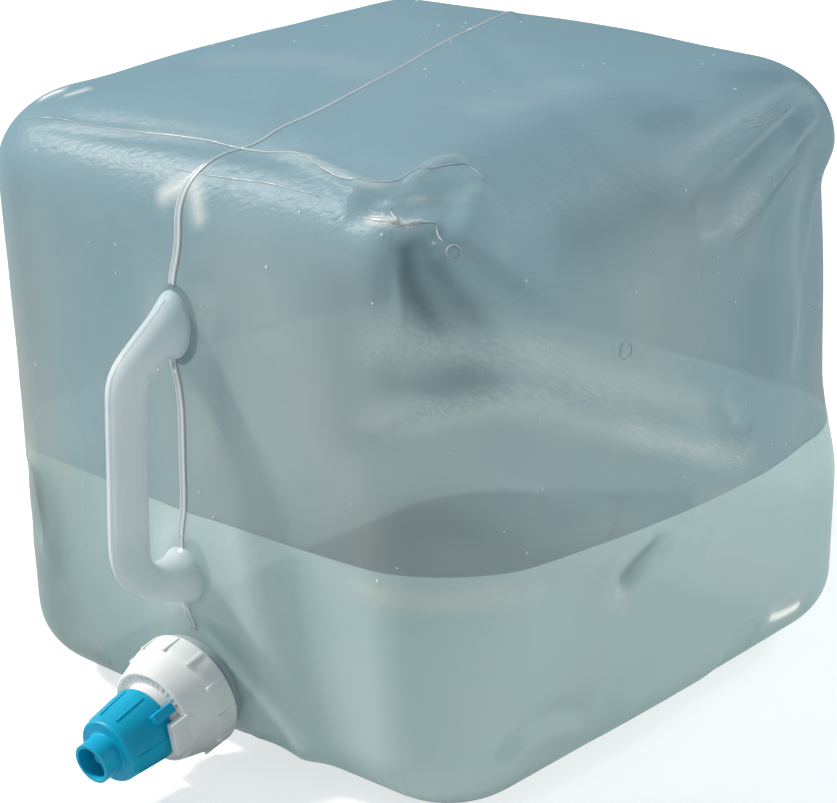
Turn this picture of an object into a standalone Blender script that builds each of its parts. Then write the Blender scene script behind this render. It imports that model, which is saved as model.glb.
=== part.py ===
"""A collapsible cube-shaped water carrier, about 20 litres.

The bag is one soft moulding: six film walls, a hollow carry handle and a threaded neck. A white screw
cap closes the neck, and a twist tap turns on the cap's spout. The front, with the handle and the tap,
faces -Y. The origin is the middle of the flat bottom, on the surface that the carrier stands on.
"""

import math

import bmesh
import bpy
from mathutils import Vector

# Bag, in metres
BAG_WIDTH = 0.290  # X, before the walls bulge
BAG_DEPTH = 0.288  # Y, before the walls bulge
BAG_HEIGHT = 0.280
UPRIGHT_RADIUS = 0.043  # the four upright edges
TOP_RADIUS = 0.035
BOTTOM_RADIUS = 0.034
FILM = 0.0006
FRONT_BULGE = 0.0075
BACK_BULGE = 0.015
RIGHT_BULGE = 0.016
LEFT_BULGE = 0.020
TOP_CROWN = 0.0075
FRONT_SAG = 0.9  # how far the front's bulge sinks towards the tap
NECK_SEAT = -0.0078  # where the film meets the neck, along the spigot's axis
NECK_SEAT_REACH = 0.032
PANEL_CELLS = 11
PANEL_EDGE = 0.0035  # share of a half side left free at each wall's edge

# Spigot: its axis leaves the middle of the cap's rear rim, and distances along it start there
SPIGOT_CENTRE = Vector((0.0, -0.157, 0.0375))
SPIGOT_DROOP = math.radians(9.0)
SPIGOT_TURN = math.radians(4.0)
CLEARANCE = 0.0003

NECK_REAR = -0.022
NECK_LIP = 0.0196
NECK_BORE = 0.0186
NECK_RADIUS = 0.0208
NECK_BEAD_RADIUS = 0.0240
CAP_THREAD_PITCH = 0.0042
CAP_THREAD_DEPTH = 0.0010
CAP_THREAD_START = 0.0062
NECK_THREAD_TURNS = 1.8
CAP_THREAD_TURNS = 1.4
THREAD_ROOT = 0.0002  # how far a cap thread's middle stands off its wall
NECK_BEAD_REAR = -0.0052
NECK_BEAD_FRONT = -0.0024
NECK_HOLE_REAR = -0.040  # the cutter for the neck's hole in the front wall
NECK_HOLE_FRONT = -0.001

CAP_REAR_RADIUS = 0.0270
CAP_FACE_RADIUS = 0.0222
CAP_SKIRT = 0.0095  # length of the ribbed band
CAP_FACE = 0.0244
CAP_BORE = 0.0230
CAP_END_WALL = 0.0219
CAP_COLLAR_RADIUS = 0.0160
CAP_COLLAR_TOP = 0.0278
CAP_RIBS = 12
CAP_RIB = (0.0254, 0.0274, 0.0009, 0.0012, 0.0105)  # inner and outer radius, half width, rear and front

STEM_RADIUS = 0.0123
STEM_BORE = 0.0080
STEM_MOUTH = 0.0480
STEM_FLANGE_RADIUS = 0.0168
STEM_FLANGE_REAR = 0.0190
TAP_PITCH = 0.0080
TAP_THREAD_DEPTH = 0.0007
TAP_THREAD_START = 0.0412
STEM_THREAD_TURNS = 0.6
BARREL_THREAD_TURNS = 0.55

TAP_REAR = 0.0290
TAP_REAR_RADIUS = 0.0174
TAP_FRONT = 0.0530
TAP_FRONT_RADIUS = 0.0150
TAP_BORE = 0.0136
TAP_FRONT_WALL = 0.0024
TAP_GROOVE = 0.0322
TAP_GROOVE_HALF = 0.0012
TAP_GROOVE_RADIUS = 0.0148
TAP_RIBS = 10
TAP_RIB = (0.0162, 0.0176, 0.0005, 0.0320, 0.0485)  # as CAP_RIB
NOZZLE_MOUTH = 0.0628
NOZZLE_RADIUS = 0.0094
NOZZLE_BORE = 0.0076
POINTER_ANGLE = math.radians(36.0)
POINTER = (0.0164, 0.0206, 0.0023, 0.0256, 0.0370)  # as CAP_RIB
STOP_LUG = (0.0184, 0.0218, 0.0078, 0.0224, 0.0335)  # as CAP_RIB

SEAL_RADIUS = 0.01365  # to the middle of the ring's section
SEAL_SECTION = 0.0008
PLUG_RADIUS = 0.0076
PLUG_SEAT = 0.0440
PLUG_FRONT = 0.0492
STALK_RADIUS = 0.0026
STALK_FRONT = 0.0585
PLUG_ARM = (0.0010, 0.0073, 0.0006, 0.0545, 0.0578)  # as CAP_RIB
AXIS_HOLE = 0.0002  # left open along a solid turned piece's middle

# Handle: its middle line in the X = 0 plane, as (y, z, radius), from the upper root to the lower one
HANDLE_LINE = (
    (-0.1400, 0.2080, 0.0155),
    (-0.1500, 0.2055, 0.0140),
    (-0.1625, 0.1990, 0.0116),
    (-0.1750, 0.1905, 0.0103),
    (-0.1795, 0.1760, 0.0102),
    (-0.1820, 0.1480, 0.0102),
    (-0.1845, 0.1200, 0.0102),
    (-0.1820, 0.1025, 0.0104),
    (-0.1680, 0.0950, 0.0110),
    (-0.1530, 0.0945, 0.0120),
    (-0.1430, 0.0945, 0.0130),
)
HANDLE_WALL = 0.0012
HANDLE_CLEARANCE = 0.0005


def clear_scene():
    for old in list(bpy.data.objects):
        bpy.data.objects.remove(old, do_unlink=True)


def new_collection(name):
    group = bpy.data.collections.new(name)
    bpy.context.scene.collection.children.link(group)
    return group


def plastic(name, color, roughness, transmission=0.0):
    material = bpy.data.materials.new(name)
    material.use_nodes = True
    shader = material.node_tree.nodes["Principled BSDF"]
    shader.inputs["Base Color"].default_value = (*color, 1.0)
    shader.inputs["Roughness"].default_value = roughness
    shader.inputs["Metallic"].default_value = 0.0
    shader.inputs["Transmission Weight"].default_value = transmission
    material.diffuse_color = (*color, 1.0)
    return material


def add_object(name, data, group, material=None, parent=None):
    piece = bpy.data.objects.new(name, data)
    group.objects.link(piece)
    if material:
        data.materials.append(material)
    if parent:
        piece.parent = parent
    return piece


def as_guide(piece):
    piece.hide_render = True
    piece.display_type = "WIRE"
    return piece


# Film


def spread(share):
    """Moves evenly spaced grid lines towards the rounded edges of a wall."""
    return (1.0 - PANEL_EDGE) * math.sin(share * math.pi / 2)


def film_point(a, b, c):
    """The point of the bag's outside that the point (a, b, c) of a cube from -1 to 1 stands for."""
    half = Vector((BAG_WIDTH / 2, BAG_DEPTH / 2, BAG_HEIGHT / 2))
    level_radius = TOP_RADIUS if c > 0 else BOTTOM_RADIUS
    radii = (UPRIGHT_RADIUS, UPRIGHT_RADIUS, level_radius)
    core = []
    away = []
    for share, side, radius in zip((a, b, c), half, radii):
        reach = side - radius
        middle = max(-reach, min(reach, share * side))
        core.append(middle)
        away.append((share * side - middle) / radius)
    away = Vector(away).normalized()
    point = Vector([middle + part * radius for middle, part, radius in zip(core, away, radii)])
    x, y, z = (part / side for part, side in zip(point, half))
    level = 1 - z * z
    point.y -= FRONT_BULGE * (1 - x * x) * level * (1 - FRONT_SAG * z) * max(0.0, -y) ** 4
    point.y += BACK_BULGE * (1 - x * x) * level * max(0.0, y) ** 4
    point.x += RIGHT_BULGE * (1 - y * y) * level * max(0.0, x) ** 4
    point.x -= LEFT_BULGE * (1 - y * y) * level * max(0.0, -x) ** 4
    point.z += BAG_HEIGHT / 2 + TOP_CROWN * (1 - x * x) * (1 - y * y) * max(0.0, z) ** 4
    if y < 0:
        aside, above = point.x - SPIGOT_CENTRE.x, point.z - SPIGOT_CENTRE.z
        seat = SPIGOT_CENTRE.y - NECK_SEAT - above * math.tan(SPIGOT_DROOP)
        pull = math.exp(-((math.hypot(aside, above) / NECK_SEAT_REACH) ** 4)) * min(1.0, -y) ** 8
        point.y += pull * (seat - point.y)
    return point


def film_wall(name, normal, across, up, group, material):
    """One wall of the bag: the side of the cube that faces along normal."""
    normal, across, up = Vector(normal), Vector(across), Vector(up)
    grid = bmesh.new()
    bmesh.ops.create_grid(grid, x_segments=PANEL_CELLS, y_segments=PANEL_CELLS, size=1.0)
    origin = film_point(*normal)
    for vert in grid.verts:
        place = normal + across * spread(vert.co.x) + up * spread(vert.co.y)
        vert.co = film_point(*place) - origin
    mesh = bpy.data.meshes.new(name)
    grid.to_mesh(mesh)
    grid.free()
    mesh.shade_smooth()
    wall = add_object(name, mesh, group, material)
    wall.location = origin
    shell = wall.modifiers.new("Film", "SOLIDIFY")
    shell.thickness = FILM
    shell.offset = -1.0
    return wall


# Curves


def curve_mesh(name, points, radii, bevel, group, closed_ends, smooth=False):
    """A tube along points, made a mesh with its caps welded on."""
    curve = bpy.data.curves.new(name, "CURVE")
    curve.dimensions = "3D"
    curve.bevel_depth = bevel
    curve.bevel_resolution = 4 if smooth else 2
    curve.use_fill_caps = closed_ends
    if smooth:
        curve.resolution_u = 3
        spline = curve.splines.new("BEZIER")
        spline.bezier_points.add(len(points) - 1)
        for knot, point, radius in zip(spline.bezier_points, points, radii):
            knot.co = point
            knot.radius = radius
            knot.handle_left_type = "AUTO"
            knot.handle_right_type = "AUTO"
    else:
        spline = curve.splines.new("POLY")
        spline.points.add(len(points) - 1)
        for knot, point, radius in zip(spline.points, points, radii):
            knot.co = (*point, 1.0)
            knot.radius = radius
    drawn = add_object(name + "_curve", curve, group)
    bpy.context.view_layer.update()
    depsgraph = bpy.context.evaluated_depsgraph_get()
    mesh = bpy.data.meshes.new_from_object(drawn.evaluated_get(depsgraph))
    mesh.name = name
    work = bmesh.new()
    work.from_mesh(mesh)
    bmesh.ops.remove_doubles(work, verts=work.verts, dist=0.00001)
    bmesh.ops.recalc_face_normals(work, faces=work.faces)
    work.to_mesh(mesh)
    work.free()
    bpy.data.objects.remove(drawn, do_unlink=True)
    return mesh


def handle_mesh(name, group, grow=0.0, closed_ends=False):
    points = [Vector((0.0, y, z)) for y, z, _ in HANDLE_LINE]
    radii = [radius + grow for _, _, radius in HANDLE_LINE]
    return curve_mesh(name, points, radii, 1.0, group, closed_ends, smooth=True)


def helix(name, radius, thickness, pitch, turns, start, group):
    """A thread ridge that climbs along +Z and thins at both ends."""
    steps = 26
    run_out = 3.0  # steps over which an end thins
    count = int(turns * steps)
    points = []
    radii = []
    for step in range(count + 1):
        angle = step / steps * math.tau
        height = start + step / steps * pitch
        points.append(Vector((radius * math.cos(angle), radius * math.sin(angle), height)))
        ends = min(step, count - step) / run_out
        radii.append(0.35 + 0.65 * min(1.0, ends))
    return curve_mesh(name, points, radii, thickness, group, True)


# Turned and joined shapes


def turned(name, outline, segments, group, material, parent):
    """A ring or tube: the closed outline of (radius, height) points, spun round Z."""
    mesh = bpy.data.meshes.new(name)
    work = bmesh.new()
    verts = [work.verts.new((radius, 0.0, height)) for radius, height in outline]
    for here, there in zip(verts, verts[1:] + verts[:1]):
        work.edges.new((here, there))
    work.to_mesh(mesh)
    work.free()
    piece = add_object(name, mesh, group, material, parent)
    spin = piece.modifiers.new("Spin", "SCREW")
    spin.angle = math.tau
    spin.steps = segments
    spin.render_steps = segments
    spin.use_merge_vertices = True
    spin.merge_threshold = 0.00001
    spin.use_smooth_shade = False
    return piece


def round_cutter(name, radius, rear, front, tools, parent):
    """A plain cylinder that cuts, from rear to front along its parent's axis."""
    mesh = bpy.data.meshes.new(name)
    work = bmesh.new()
    bmesh.ops.create_cone(
        work,
        cap_ends=True,
        segments=32,
        radius1=radius,
        radius2=radius,
        depth=front - rear,
    )
    bmesh.ops.translate(work, verts=work.verts, vec=(0.0, 0.0, (front + rear) / 2))
    work.to_mesh(mesh)
    work.free()
    return as_guide(add_object(name, mesh, tools, parent=parent))


def box_mesh(name, boxes, slope=0.0):
    """Boxes round the spigot axis, each (angle, inner, outer, half width, rear, front), as one mesh."""
    work = bmesh.new()
    for angle, inner, outer, half_width, rear, front in boxes:
        block = bmesh.ops.create_cube(work, size=1.0)["verts"]
        for vert in block:
            height = (rear + front) / 2 + vert.co.z * (front - rear)
            along = (inner + outer) / 2 + vert.co.x * (outer - inner) - slope * (height - rear)
            aside = vert.co.y * 2 * half_width
            vert.co = (
                along * math.cos(angle) - aside * math.sin(angle),
                along * math.sin(angle) + aside * math.cos(angle),
                height,
            )
    mesh = bpy.data.meshes.new(name)
    work.to_mesh(mesh)
    work.free()
    return mesh


def combine(piece, tool, operation):
    step = piece.modifiers.new(operation.title(), "BOOLEAN")
    step.operation = operation
    step.object = tool
    step.solver = "EXACT"
    return step


# Sub-parts


def make_walls(parts, tools, film, spigot):
    walls = {
        "front_wall": ((0, -1, 0), (1, 0, 0), (0, 0, 1)),
        "back_wall": ((0, 1, 0), (-1, 0, 0), (0, 0, 1)),
        "right_wall": ((1, 0, 0), (0, 1, 0), (0, 0, 1)),
        "left_wall": ((-1, 0, 0), (0, -1, 0), (0, 0, 1)),
        "top_wall": ((0, 0, 1), (1, 0, 0), (0, 1, 0)),
        "bottom_wall": ((0, 0, -1), (-1, 0, 0), (0, 1, 0)),
    }
    made = {name: film_wall(name, *axes, parts, film) for name, axes in walls.items()}
    front = made["front_wall"]
    around_handle = handle_mesh("handle_holes", tools, HANDLE_CLEARANCE, closed_ends=True)
    combine(front, as_guide(add_object("handle_holes", around_handle, tools)), "DIFFERENCE")
    neck_hole = round_cutter(
        "neck_hole", NECK_RADIUS + 2 * CLEARANCE, NECK_HOLE_REAR, NECK_HOLE_FRONT, tools, spigot
    )
    combine(front, neck_hole, "DIFFERENCE")


def make_handle(parts, tools, film):
    mesh = handle_mesh("carry_handle", tools)
    mesh.shade_smooth()
    handle = add_object("carry_handle", mesh, parts, film)
    shell = handle.modifiers.new("Wall", "SOLIDIFY")
    shell.thickness = HANDLE_WALL
    shell.offset = -1.0
    return handle


def make_neck(parts, tools, film, spigot):
    outline = (
        (NECK_RADIUS - 0.0006, NECK_LIP),
        (NECK_RADIUS, NECK_LIP - 0.0008),
        (NECK_RADIUS, NECK_BEAD_FRONT + 0.0010),
        (NECK_BEAD_RADIUS, NECK_BEAD_FRONT),
        (NECK_BEAD_RADIUS, NECK_BEAD_REAR),
        (NECK_RADIUS, NECK_BEAD_REAR - 0.0008),
        (NECK_RADIUS, NECK_REAR),
        (NECK_BORE, NECK_REAR),
        (NECK_BORE, NECK_LIP),
    )
    neck = turned("threaded_neck", outline, 32, parts, film, spigot)
    ridge = helix(
        "neck_thread",
        NECK_RADIUS + THREAD_ROOT,
        CAP_THREAD_DEPTH,
        CAP_THREAD_PITCH,
        NECK_THREAD_TURNS,
        CAP_THREAD_START,
        tools,
    )
    combine(neck, as_guide(add_object("neck_thread", ridge, tools, parent=spigot)), "UNION")


def make_cap(parts, tools, white, spigot):
    recess = CAP_FACE - 0.0010
    outline = (
        (CAP_COLLAR_RADIUS - 0.0006, CAP_COLLAR_TOP),
        (CAP_COLLAR_RADIUS, CAP_COLLAR_TOP - 0.0006),
        (CAP_COLLAR_RADIUS, recess),
        (CAP_FACE_RADIUS - 0.0014, recess),
        (CAP_FACE_RADIUS - 0.0014, CAP_FACE - 0.0002),
        (CAP_FACE_RADIUS - 0.0006, CAP_FACE),
        (CAP_FACE_RADIUS, CAP_FACE - 0.0008),
        (CAP_REAR_RADIUS - 0.0012, CAP_SKIRT + 0.0020),
        (CAP_REAR_RADIUS - 0.0004, CAP_SKIRT),
        (CAP_REAR_RADIUS, 0.0008),
        (CAP_REAR_RADIUS - 0.0006, 0.0),
        (CAP_BORE, 0.0),
        (CAP_BORE, CAP_SKIRT + 0.0040),
        (CAP_BORE - 0.0018, CAP_END_WALL),
        (STEM_RADIUS + CLEARANCE, CAP_END_WALL),
        (STEM_RADIUS + CLEARANCE, CAP_COLLAR_TOP),
    )
    cap = turned("screw_cap", outline, 36, parts, white, spigot)
    grips = [(turn * math.tau / CAP_RIBS, *CAP_RIB) for turn in range(CAP_RIBS)]
    ribs = box_mesh("cap_ribs", [*grips, (0.0, *STOP_LUG)])
    combine(cap, as_guide(add_object("cap_ribs", ribs, tools, parent=spigot)), "UNION")
    ridge = helix(
        "cap_thread",
        CAP_BORE - THREAD_ROOT,
        CAP_THREAD_DEPTH,
        CAP_THREAD_PITCH,
        CAP_THREAD_TURNS,
        CAP_THREAD_START - CAP_THREAD_PITCH / 2,
        tools,
    )
    combine(cap, as_guide(add_object("cap_thread", ridge, tools, parent=spigot)), "UNION")


def make_gasket(parts, rubber, spigot):
    outer, inner = CAP_BORE - 0.0022, NECK_BORE + 0.0002
    rear, front = NECK_LIP + CLEARANCE, CAP_END_WALL - CLEARANCE
    outline = ((outer, front), (outer, rear), (inner, rear), (inner, front))
    turned("cap_gasket", outline, 32, parts, rubber, spigot)


def make_stem(parts, tools, white, spigot):
    flange_front = CAP_END_WALL - CLEARANCE
    outline = (
        (STEM_RADIUS - 0.0008, STEM_MOUTH),
        (STEM_RADIUS, STEM_MOUTH - 0.0010),
        (STEM_RADIUS, flange_front),
        (STEM_FLANGE_RADIUS, flange_front),
        (STEM_FLANGE_RADIUS, STEM_FLANGE_REAR),
        (STEM_BORE, STEM_FLANGE_REAR),
        (STEM_BORE, STEM_MOUTH - 0.0014),
        (STEM_BORE + 0.0014, STEM_MOUTH),
    )
    stem = turned("spout_stem", outline, 28, parts, white, spigot)
    ridge = helix(
        "stem_thread",
        STEM_RADIUS,
        TAP_THREAD_DEPTH,
        TAP_PITCH,
        STEM_THREAD_TURNS,
        TAP_THREAD_START,
        tools,
    )
    combine(stem, as_guide(add_object("stem_thread", ridge, tools, parent=spigot)), "UNION")


def make_tap_seal(parts, rubber, spigot):
    ring = bpy.data.meshes.new("tap_seal_ring")
    work = bmesh.new()
    circle = bmesh.ops.create_circle(work, segments=8, radius=SEAL_SECTION)["verts"]
    for vert in circle:
        vert.co = (SEAL_RADIUS + vert.co.x, 0.0, TAP_GROOVE + vert.co.y)
    work.to_mesh(ring)
    work.free()
    seal = add_object("tap_seal_ring", ring, parts, rubber, spigot)
    spin = seal.modifiers.new("Spin", "SCREW")
    spin.angle = math.tau
    spin.steps = 28
    spin.render_steps = 28
    spin.use_merge_vertices = True
    spin.merge_threshold = 0.00001


def make_tap(parts, tools, blue, spigot):
    shoulder = TAP_FRONT - TAP_FRONT_WALL
    outline = (
        (NOZZLE_RADIUS - 0.0003, NOZZLE_MOUTH),
        (NOZZLE_RADIUS, NOZZLE_MOUTH - 0.0005),
        (NOZZLE_RADIUS, TAP_FRONT + 0.0005),
        (NOZZLE_RADIUS + 0.0008, TAP_FRONT),
        (TAP_FRONT_RADIUS - 0.0008, TAP_FRONT),
        (TAP_FRONT_RADIUS, TAP_FRONT - 0.0010),
        (TAP_REAR_RADIUS, TAP_REAR + 0.0012),
        (TAP_REAR_RADIUS - 0.0006, TAP_REAR),
        (TAP_BORE + 0.0004, TAP_REAR),
        (TAP_BORE, TAP_REAR + 0.0006),
        (TAP_BORE, TAP_GROOVE - TAP_GROOVE_HALF),
        (TAP_GROOVE_RADIUS, TAP_GROOVE - TAP_GROOVE_HALF),
        (TAP_GROOVE_RADIUS, TAP_GROOVE + TAP_GROOVE_HALF),
        (TAP_BORE, TAP_GROOVE + TAP_GROOVE_HALF),
        (TAP_BORE, shoulder),
        (NOZZLE_BORE, shoulder),
        (NOZZLE_BORE, NOZZLE_MOUTH),
    )
    barrel = turned("tap_barrel", outline, 32, parts, blue, spigot)
    taper = (TAP_REAR_RADIUS - TAP_FRONT_RADIUS) / (TAP_FRONT - TAP_REAR)
    ribs = [(POINTER_ANGLE + turn * math.tau / TAP_RIBS, *TAP_RIB) for turn in range(1, TAP_RIBS)]
    grips = box_mesh("tap_ribs", ribs, taper)
    combine(barrel, as_guide(add_object("tap_ribs", grips, tools, parent=spigot)), "UNION")
    pointer = box_mesh("pointer", [(POINTER_ANGLE, *POINTER)])
    combine(barrel, as_guide(add_object("pointer", pointer, tools, parent=spigot)), "UNION")
    ridge = helix(
        "barrel_thread",
        TAP_BORE,
        TAP_THREAD_DEPTH,
        TAP_PITCH,
        BARREL_THREAD_TURNS,
        TAP_THREAD_START - TAP_PITCH / 2,
        tools,
    )
    combine(barrel, as_guide(add_object("barrel_thread", ridge, tools, parent=spigot)), "UNION")


def make_plug(parts, tools, blue, spigot):
    outline = (
        (AXIS_HOLE, STALK_FRONT),
        (STALK_RADIUS, STALK_FRONT),
        (STALK_RADIUS, PLUG_FRONT + 0.0013),
        (PLUG_RADIUS - 0.0008, PLUG_FRONT),
        (PLUG_RADIUS, PLUG_FRONT - 0.0012),
        (PLUG_RADIUS - 0.0014, PLUG_SEAT),
        (AXIS_HOLE, PLUG_SEAT),
    )
    plug = turned("valve_plug", outline, 24, parts, blue, spigot)
    arms = [(turn * math.tau / 3 + POINTER_ANGLE, *PLUG_ARM) for turn in range(3)]
    spider = box_mesh("plug_arms", arms)
    combine(plug, as_guide(add_object("plug_arms", spider, tools, parent=spigot)), "UNION")


def main():
    clear_scene()
    parts = new_collection("water_carrier")
    tools = new_collection("cutters")
    film = plastic("clear_film", (0.52, 0.62, 0.66), 0.22, transmission=0.5)
    white = plastic("white_plastic", (0.85, 0.85, 0.82), 0.4)
    blue = plastic("blue_plastic", (0.01, 0.32, 0.62), 0.35)
    rubber = plastic("seal_rubber", (0.05, 0.05, 0.05), 0.7)
    spigot = bpy.data.objects.new("spigot_axis", None)
    parts.objects.link(spigot)
    spigot.location = SPIGOT_CENTRE
    spigot.rotation_euler = (math.pi / 2 + SPIGOT_DROOP, 0.0, SPIGOT_TURN)
    make_walls(parts, tools, film, spigot)
    make_handle(parts, tools, film)
    make_neck(parts, tools, film, spigot)
    make_cap(parts, tools, white, spigot)
    make_gasket(parts, rubber, spigot)
    make_stem(parts, tools, white, spigot)
    make_tap_seal(parts, rubber, spigot)
    make_tap(parts, tools, blue, spigot)
    make_plug(parts, tools, blue, spigot)


main()
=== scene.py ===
"""Looks for a collapsible water carrier: film bag, carry handle, screw cap and twist tap.

Everything is in metres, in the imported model's frame: the front, with the handle and the tap, faces -Y,
+Z is up, and the carrier stands on z = 0.
"""

import math

import bmesh
import bpy
import numpy as np
from mathutils import Euler, Matrix, Vector, noise
from mathutils.bvhtree import BVHTree


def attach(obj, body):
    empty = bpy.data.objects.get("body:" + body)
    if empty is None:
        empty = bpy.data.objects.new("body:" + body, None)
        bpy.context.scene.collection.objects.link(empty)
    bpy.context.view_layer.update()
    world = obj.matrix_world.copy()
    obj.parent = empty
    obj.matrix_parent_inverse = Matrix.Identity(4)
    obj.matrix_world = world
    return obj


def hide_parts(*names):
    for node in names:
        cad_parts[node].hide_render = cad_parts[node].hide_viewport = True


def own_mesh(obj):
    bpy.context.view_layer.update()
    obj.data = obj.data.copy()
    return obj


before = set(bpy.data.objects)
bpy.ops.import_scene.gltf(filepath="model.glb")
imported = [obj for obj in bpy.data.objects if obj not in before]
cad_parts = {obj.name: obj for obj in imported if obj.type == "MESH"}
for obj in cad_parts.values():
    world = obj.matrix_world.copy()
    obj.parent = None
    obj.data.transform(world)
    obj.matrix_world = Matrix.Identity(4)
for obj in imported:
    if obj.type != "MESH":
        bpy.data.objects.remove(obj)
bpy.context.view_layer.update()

# Bag, as in the CAD
BAG = np.array((0.290, 0.288, 0.280))
UPRIGHT_RADIUS = 0.043
TOP_RADIUS = 0.035
BOTTOM_RADIUS = 0.034
FRONT_BULGE = 0.0075
BACK_BULGE = 0.015
RIGHT_BULGE = 0.016
LEFT_BULGE = 0.020
TOP_CROWN = 0.0075
FRONT_SAG = 0.9
NECK_SEAT = -0.0078
NECK_SEAT_REACH = 0.032
FILM_CELLS = 112
WATER_LEVEL = 0.1140  # in the middle of the bag
WATER_SLOPE = -0.045  # rise per metre of Y: the water stands a little lower against the back
WATER_GAP = 0.0014  # between the film's outside and the water

# Spigot: distances along it start at the cap's rear rim, as in the CAD
SPIGOT_CENTRE = Vector((0.0, -0.157, 0.0375))
SPIGOT_DROOP = math.radians(9.0)
SPIGOT_TURN = math.radians(4.0)
SPIGOT = Matrix.Translation(SPIGOT_CENTRE) @ (
    Euler((math.pi / 2 + SPIGOT_DROOP, 0.0, SPIGOT_TURN)).to_matrix().to_4x4()
)
TURNED_STEPS = 96
THREAD_STEPS = 60  # in one turn
CLEARANCE = 0.0003
NECK_RADIUS = 0.0208
NECK_BORE = 0.0186
NECK_BEAD_RADIUS = 0.0240
NECK_LIP = 0.0196
NECK_REAR = -0.022
CAP_PITCH = 0.0042
CAP_THREAD = 0.0010
CAP_REAR_RADIUS = 0.0270
CAP_FACE_RADIUS = 0.0222
CAP_SKIRT = 0.0095
CAP_FACE = 0.0244
CAP_RECESS = 0.0234
CAP_BORE = 0.0230
CAP_END_WALL = 0.0219
CAP_COLLAR_RADIUS = 0.0160
CAP_COLLAR_TOP = 0.0278
CAP_RIBS = 12
CAP_TICKS = 40
STEM_RADIUS = 0.0123
STEM_BORE = 0.0080
STEM_MOUTH = 0.0480
TAP_PITCH = 0.0080
TAP_THREAD = 0.0007
TAP_REAR = 0.0290
TAP_REAR_RADIUS = 0.0174
TAP_FRONT = 0.0530
TAP_FRONT_RADIUS = 0.0150
TAP_BORE = 0.0136
TAP_GROOVE = 0.0322
TAP_RIBS = 10
NOZZLE_MOUTH = 0.0628
NOZZLE_RADIUS = 0.0094
NOZZLE_BORE = 0.0076
POINTER_ANGLE = math.radians(36.0)

CAMERA_PLACE = (0.7972, -0.8319, 0.5617)
CAMERA_AZIMUTH = math.radians(43.9925)
CAMERA_ELEVATION = math.radians(20.8071)
CAMERA_ROLL = math.radians(-2.5089)
CAMERA_LENS = 113.89

LIT_MIDDLE = Vector((0.0, 0.0, 0.13))
# name, place, size, power and colour of each light, all turned to the middle
LIGHTS = (
    ("key", (-2.1, -1.35, 2.3), 0.45, 125.0, (1.0, 0.97, 0.93)),
    ("fill", (1.9, -1.7, 0.9), 1.4, 5.0, (0.95, 0.98, 1.0)),
    ("rim", (0.9, 2.1, 1.5), 0.8, 16.0, (0.96, 0.98, 1.0)),
    ("strip", (2.0, 1.1, 1.1), 0.35, 9.0, (1.0, 0.97, 0.92)),
)

# Colours; the tones are ramps, as (place on the ramp, colour)
WHITE = (1.0, 1.0, 1.0, 1.0)
SKY_TONES = ((0.0, (0.28, 0.29, 0.285)), (0.25, (0.24, 0.265, 0.27)), (0.8, (0.26, 0.33, 0.40)))
FLOOR_TONES = ((0.3, (0.56, 0.57, 0.57)), (0.7, (0.60, 0.60, 0.60)))
FILM_TONES = ((0.37, (0.215, 0.345, 0.390)), (0.50, (0.300, 0.385, 0.395)), (0.63, (0.385, 0.395, 0.380)))
# painted sky reflection: the film turns this bluer colour towards its top
FILM_TOP_SKY_REFLECTION_COLOR = (0.262, 0.425, 0.505, 1.0)
# below the water: partly the wet film's own paleness, partly painted sunlight falling through the water
FILM_WET_AND_SUNLIT_COLOR = (0.77, 0.88, 0.88, 1.0)
# painted shade and painted light on the film, laid on by its shade attribute
FILM_PAINTED_SHADE_COLOR = (0.050, 0.110, 0.130, 1.0)
FILM_PAINTED_LIGHT_COLOR = (0.840, 0.880, 0.820, 1.0)
# the colour of the scuffs together with the painted glitter and painted highlights
FILM_WEAR_AND_HIGHLIGHT_COLOR = (0.90, 0.91, 0.86, 1.0)
FILM_DRY_TINT = (0.66, 0.76, 0.78, 1.0)
FILM_WET_TINT = (0.90, 0.95, 0.93, 1.0)
# painted sun glints: the film glows in this colour at its whitest painted highlights
GLINT_COLOR = (1.0, 0.96, 0.88, 1.0)
MILKY_TINT = (0.88, 0.94, 0.95, 1.0)
HANDLE_ROOT_COLOR = (0.880, 0.970, 0.990, 1.0)
WATER_TONES = ((0.35, (0.670, 0.840, 0.850)), (0.65, (0.830, 0.900, 0.850)))
WATER_SIDE_TINT = (0.88, 0.96, 0.94, 1.0)
WATER_TOP_TINT = (0.93, 0.98, 1.0, 1.0)
WATER_MIRROR = (0.8, 0.85, 0.85, 1.0)
SCRATCH_TURN = (math.radians(-55), 0.0, 0.0)
RIPPLE_TURN = (0.0, 0.0, math.radians(-44))


# Camera and lights


def placed(name, data):
    """A new object of the scene."""
    made = bpy.data.objects.new(name, data)
    bpy.context.scene.collection.objects.link(made)
    return made


def make_camera():
    level = math.cos(CAMERA_ELEVATION)
    back = Vector(
        (math.sin(CAMERA_AZIMUTH) * level, -math.cos(CAMERA_AZIMUTH) * level, math.sin(CAMERA_ELEVATION))
    )
    right = Vector((math.cos(CAMERA_AZIMUTH), math.sin(CAMERA_AZIMUTH), 0.0))
    up = back.cross(right)
    rolled_right = right * math.cos(CAMERA_ROLL) + up * math.sin(CAMERA_ROLL)
    rolled_up = -right * math.sin(CAMERA_ROLL) + up * math.cos(CAMERA_ROLL)
    camera = placed("camera", bpy.data.cameras.new("camera"))
    camera.matrix_world = Matrix.Translation(CAMERA_PLACE) @ (
        Matrix((rolled_right, rolled_up, back)).transposed().to_4x4()
    )
    camera.data.lens = CAMERA_LENS
    camera.data.sensor_width = 36.0
    camera.data.clip_start = 0.05
    bpy.context.scene.camera = camera


def make_lights():
    for name, place, size, power, color in LIGHTS:
        data = bpy.data.lights.new(name, "AREA")
        data.shape = "DISK"
        data.size = size
        data.energy = power
        data.color = color
        lamp = placed(name, data)
        lamp.location = place
        lamp.rotation_euler = (LIT_MIDDLE - Vector(place)).to_track_quat("-Z", "Y").to_euler()


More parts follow.
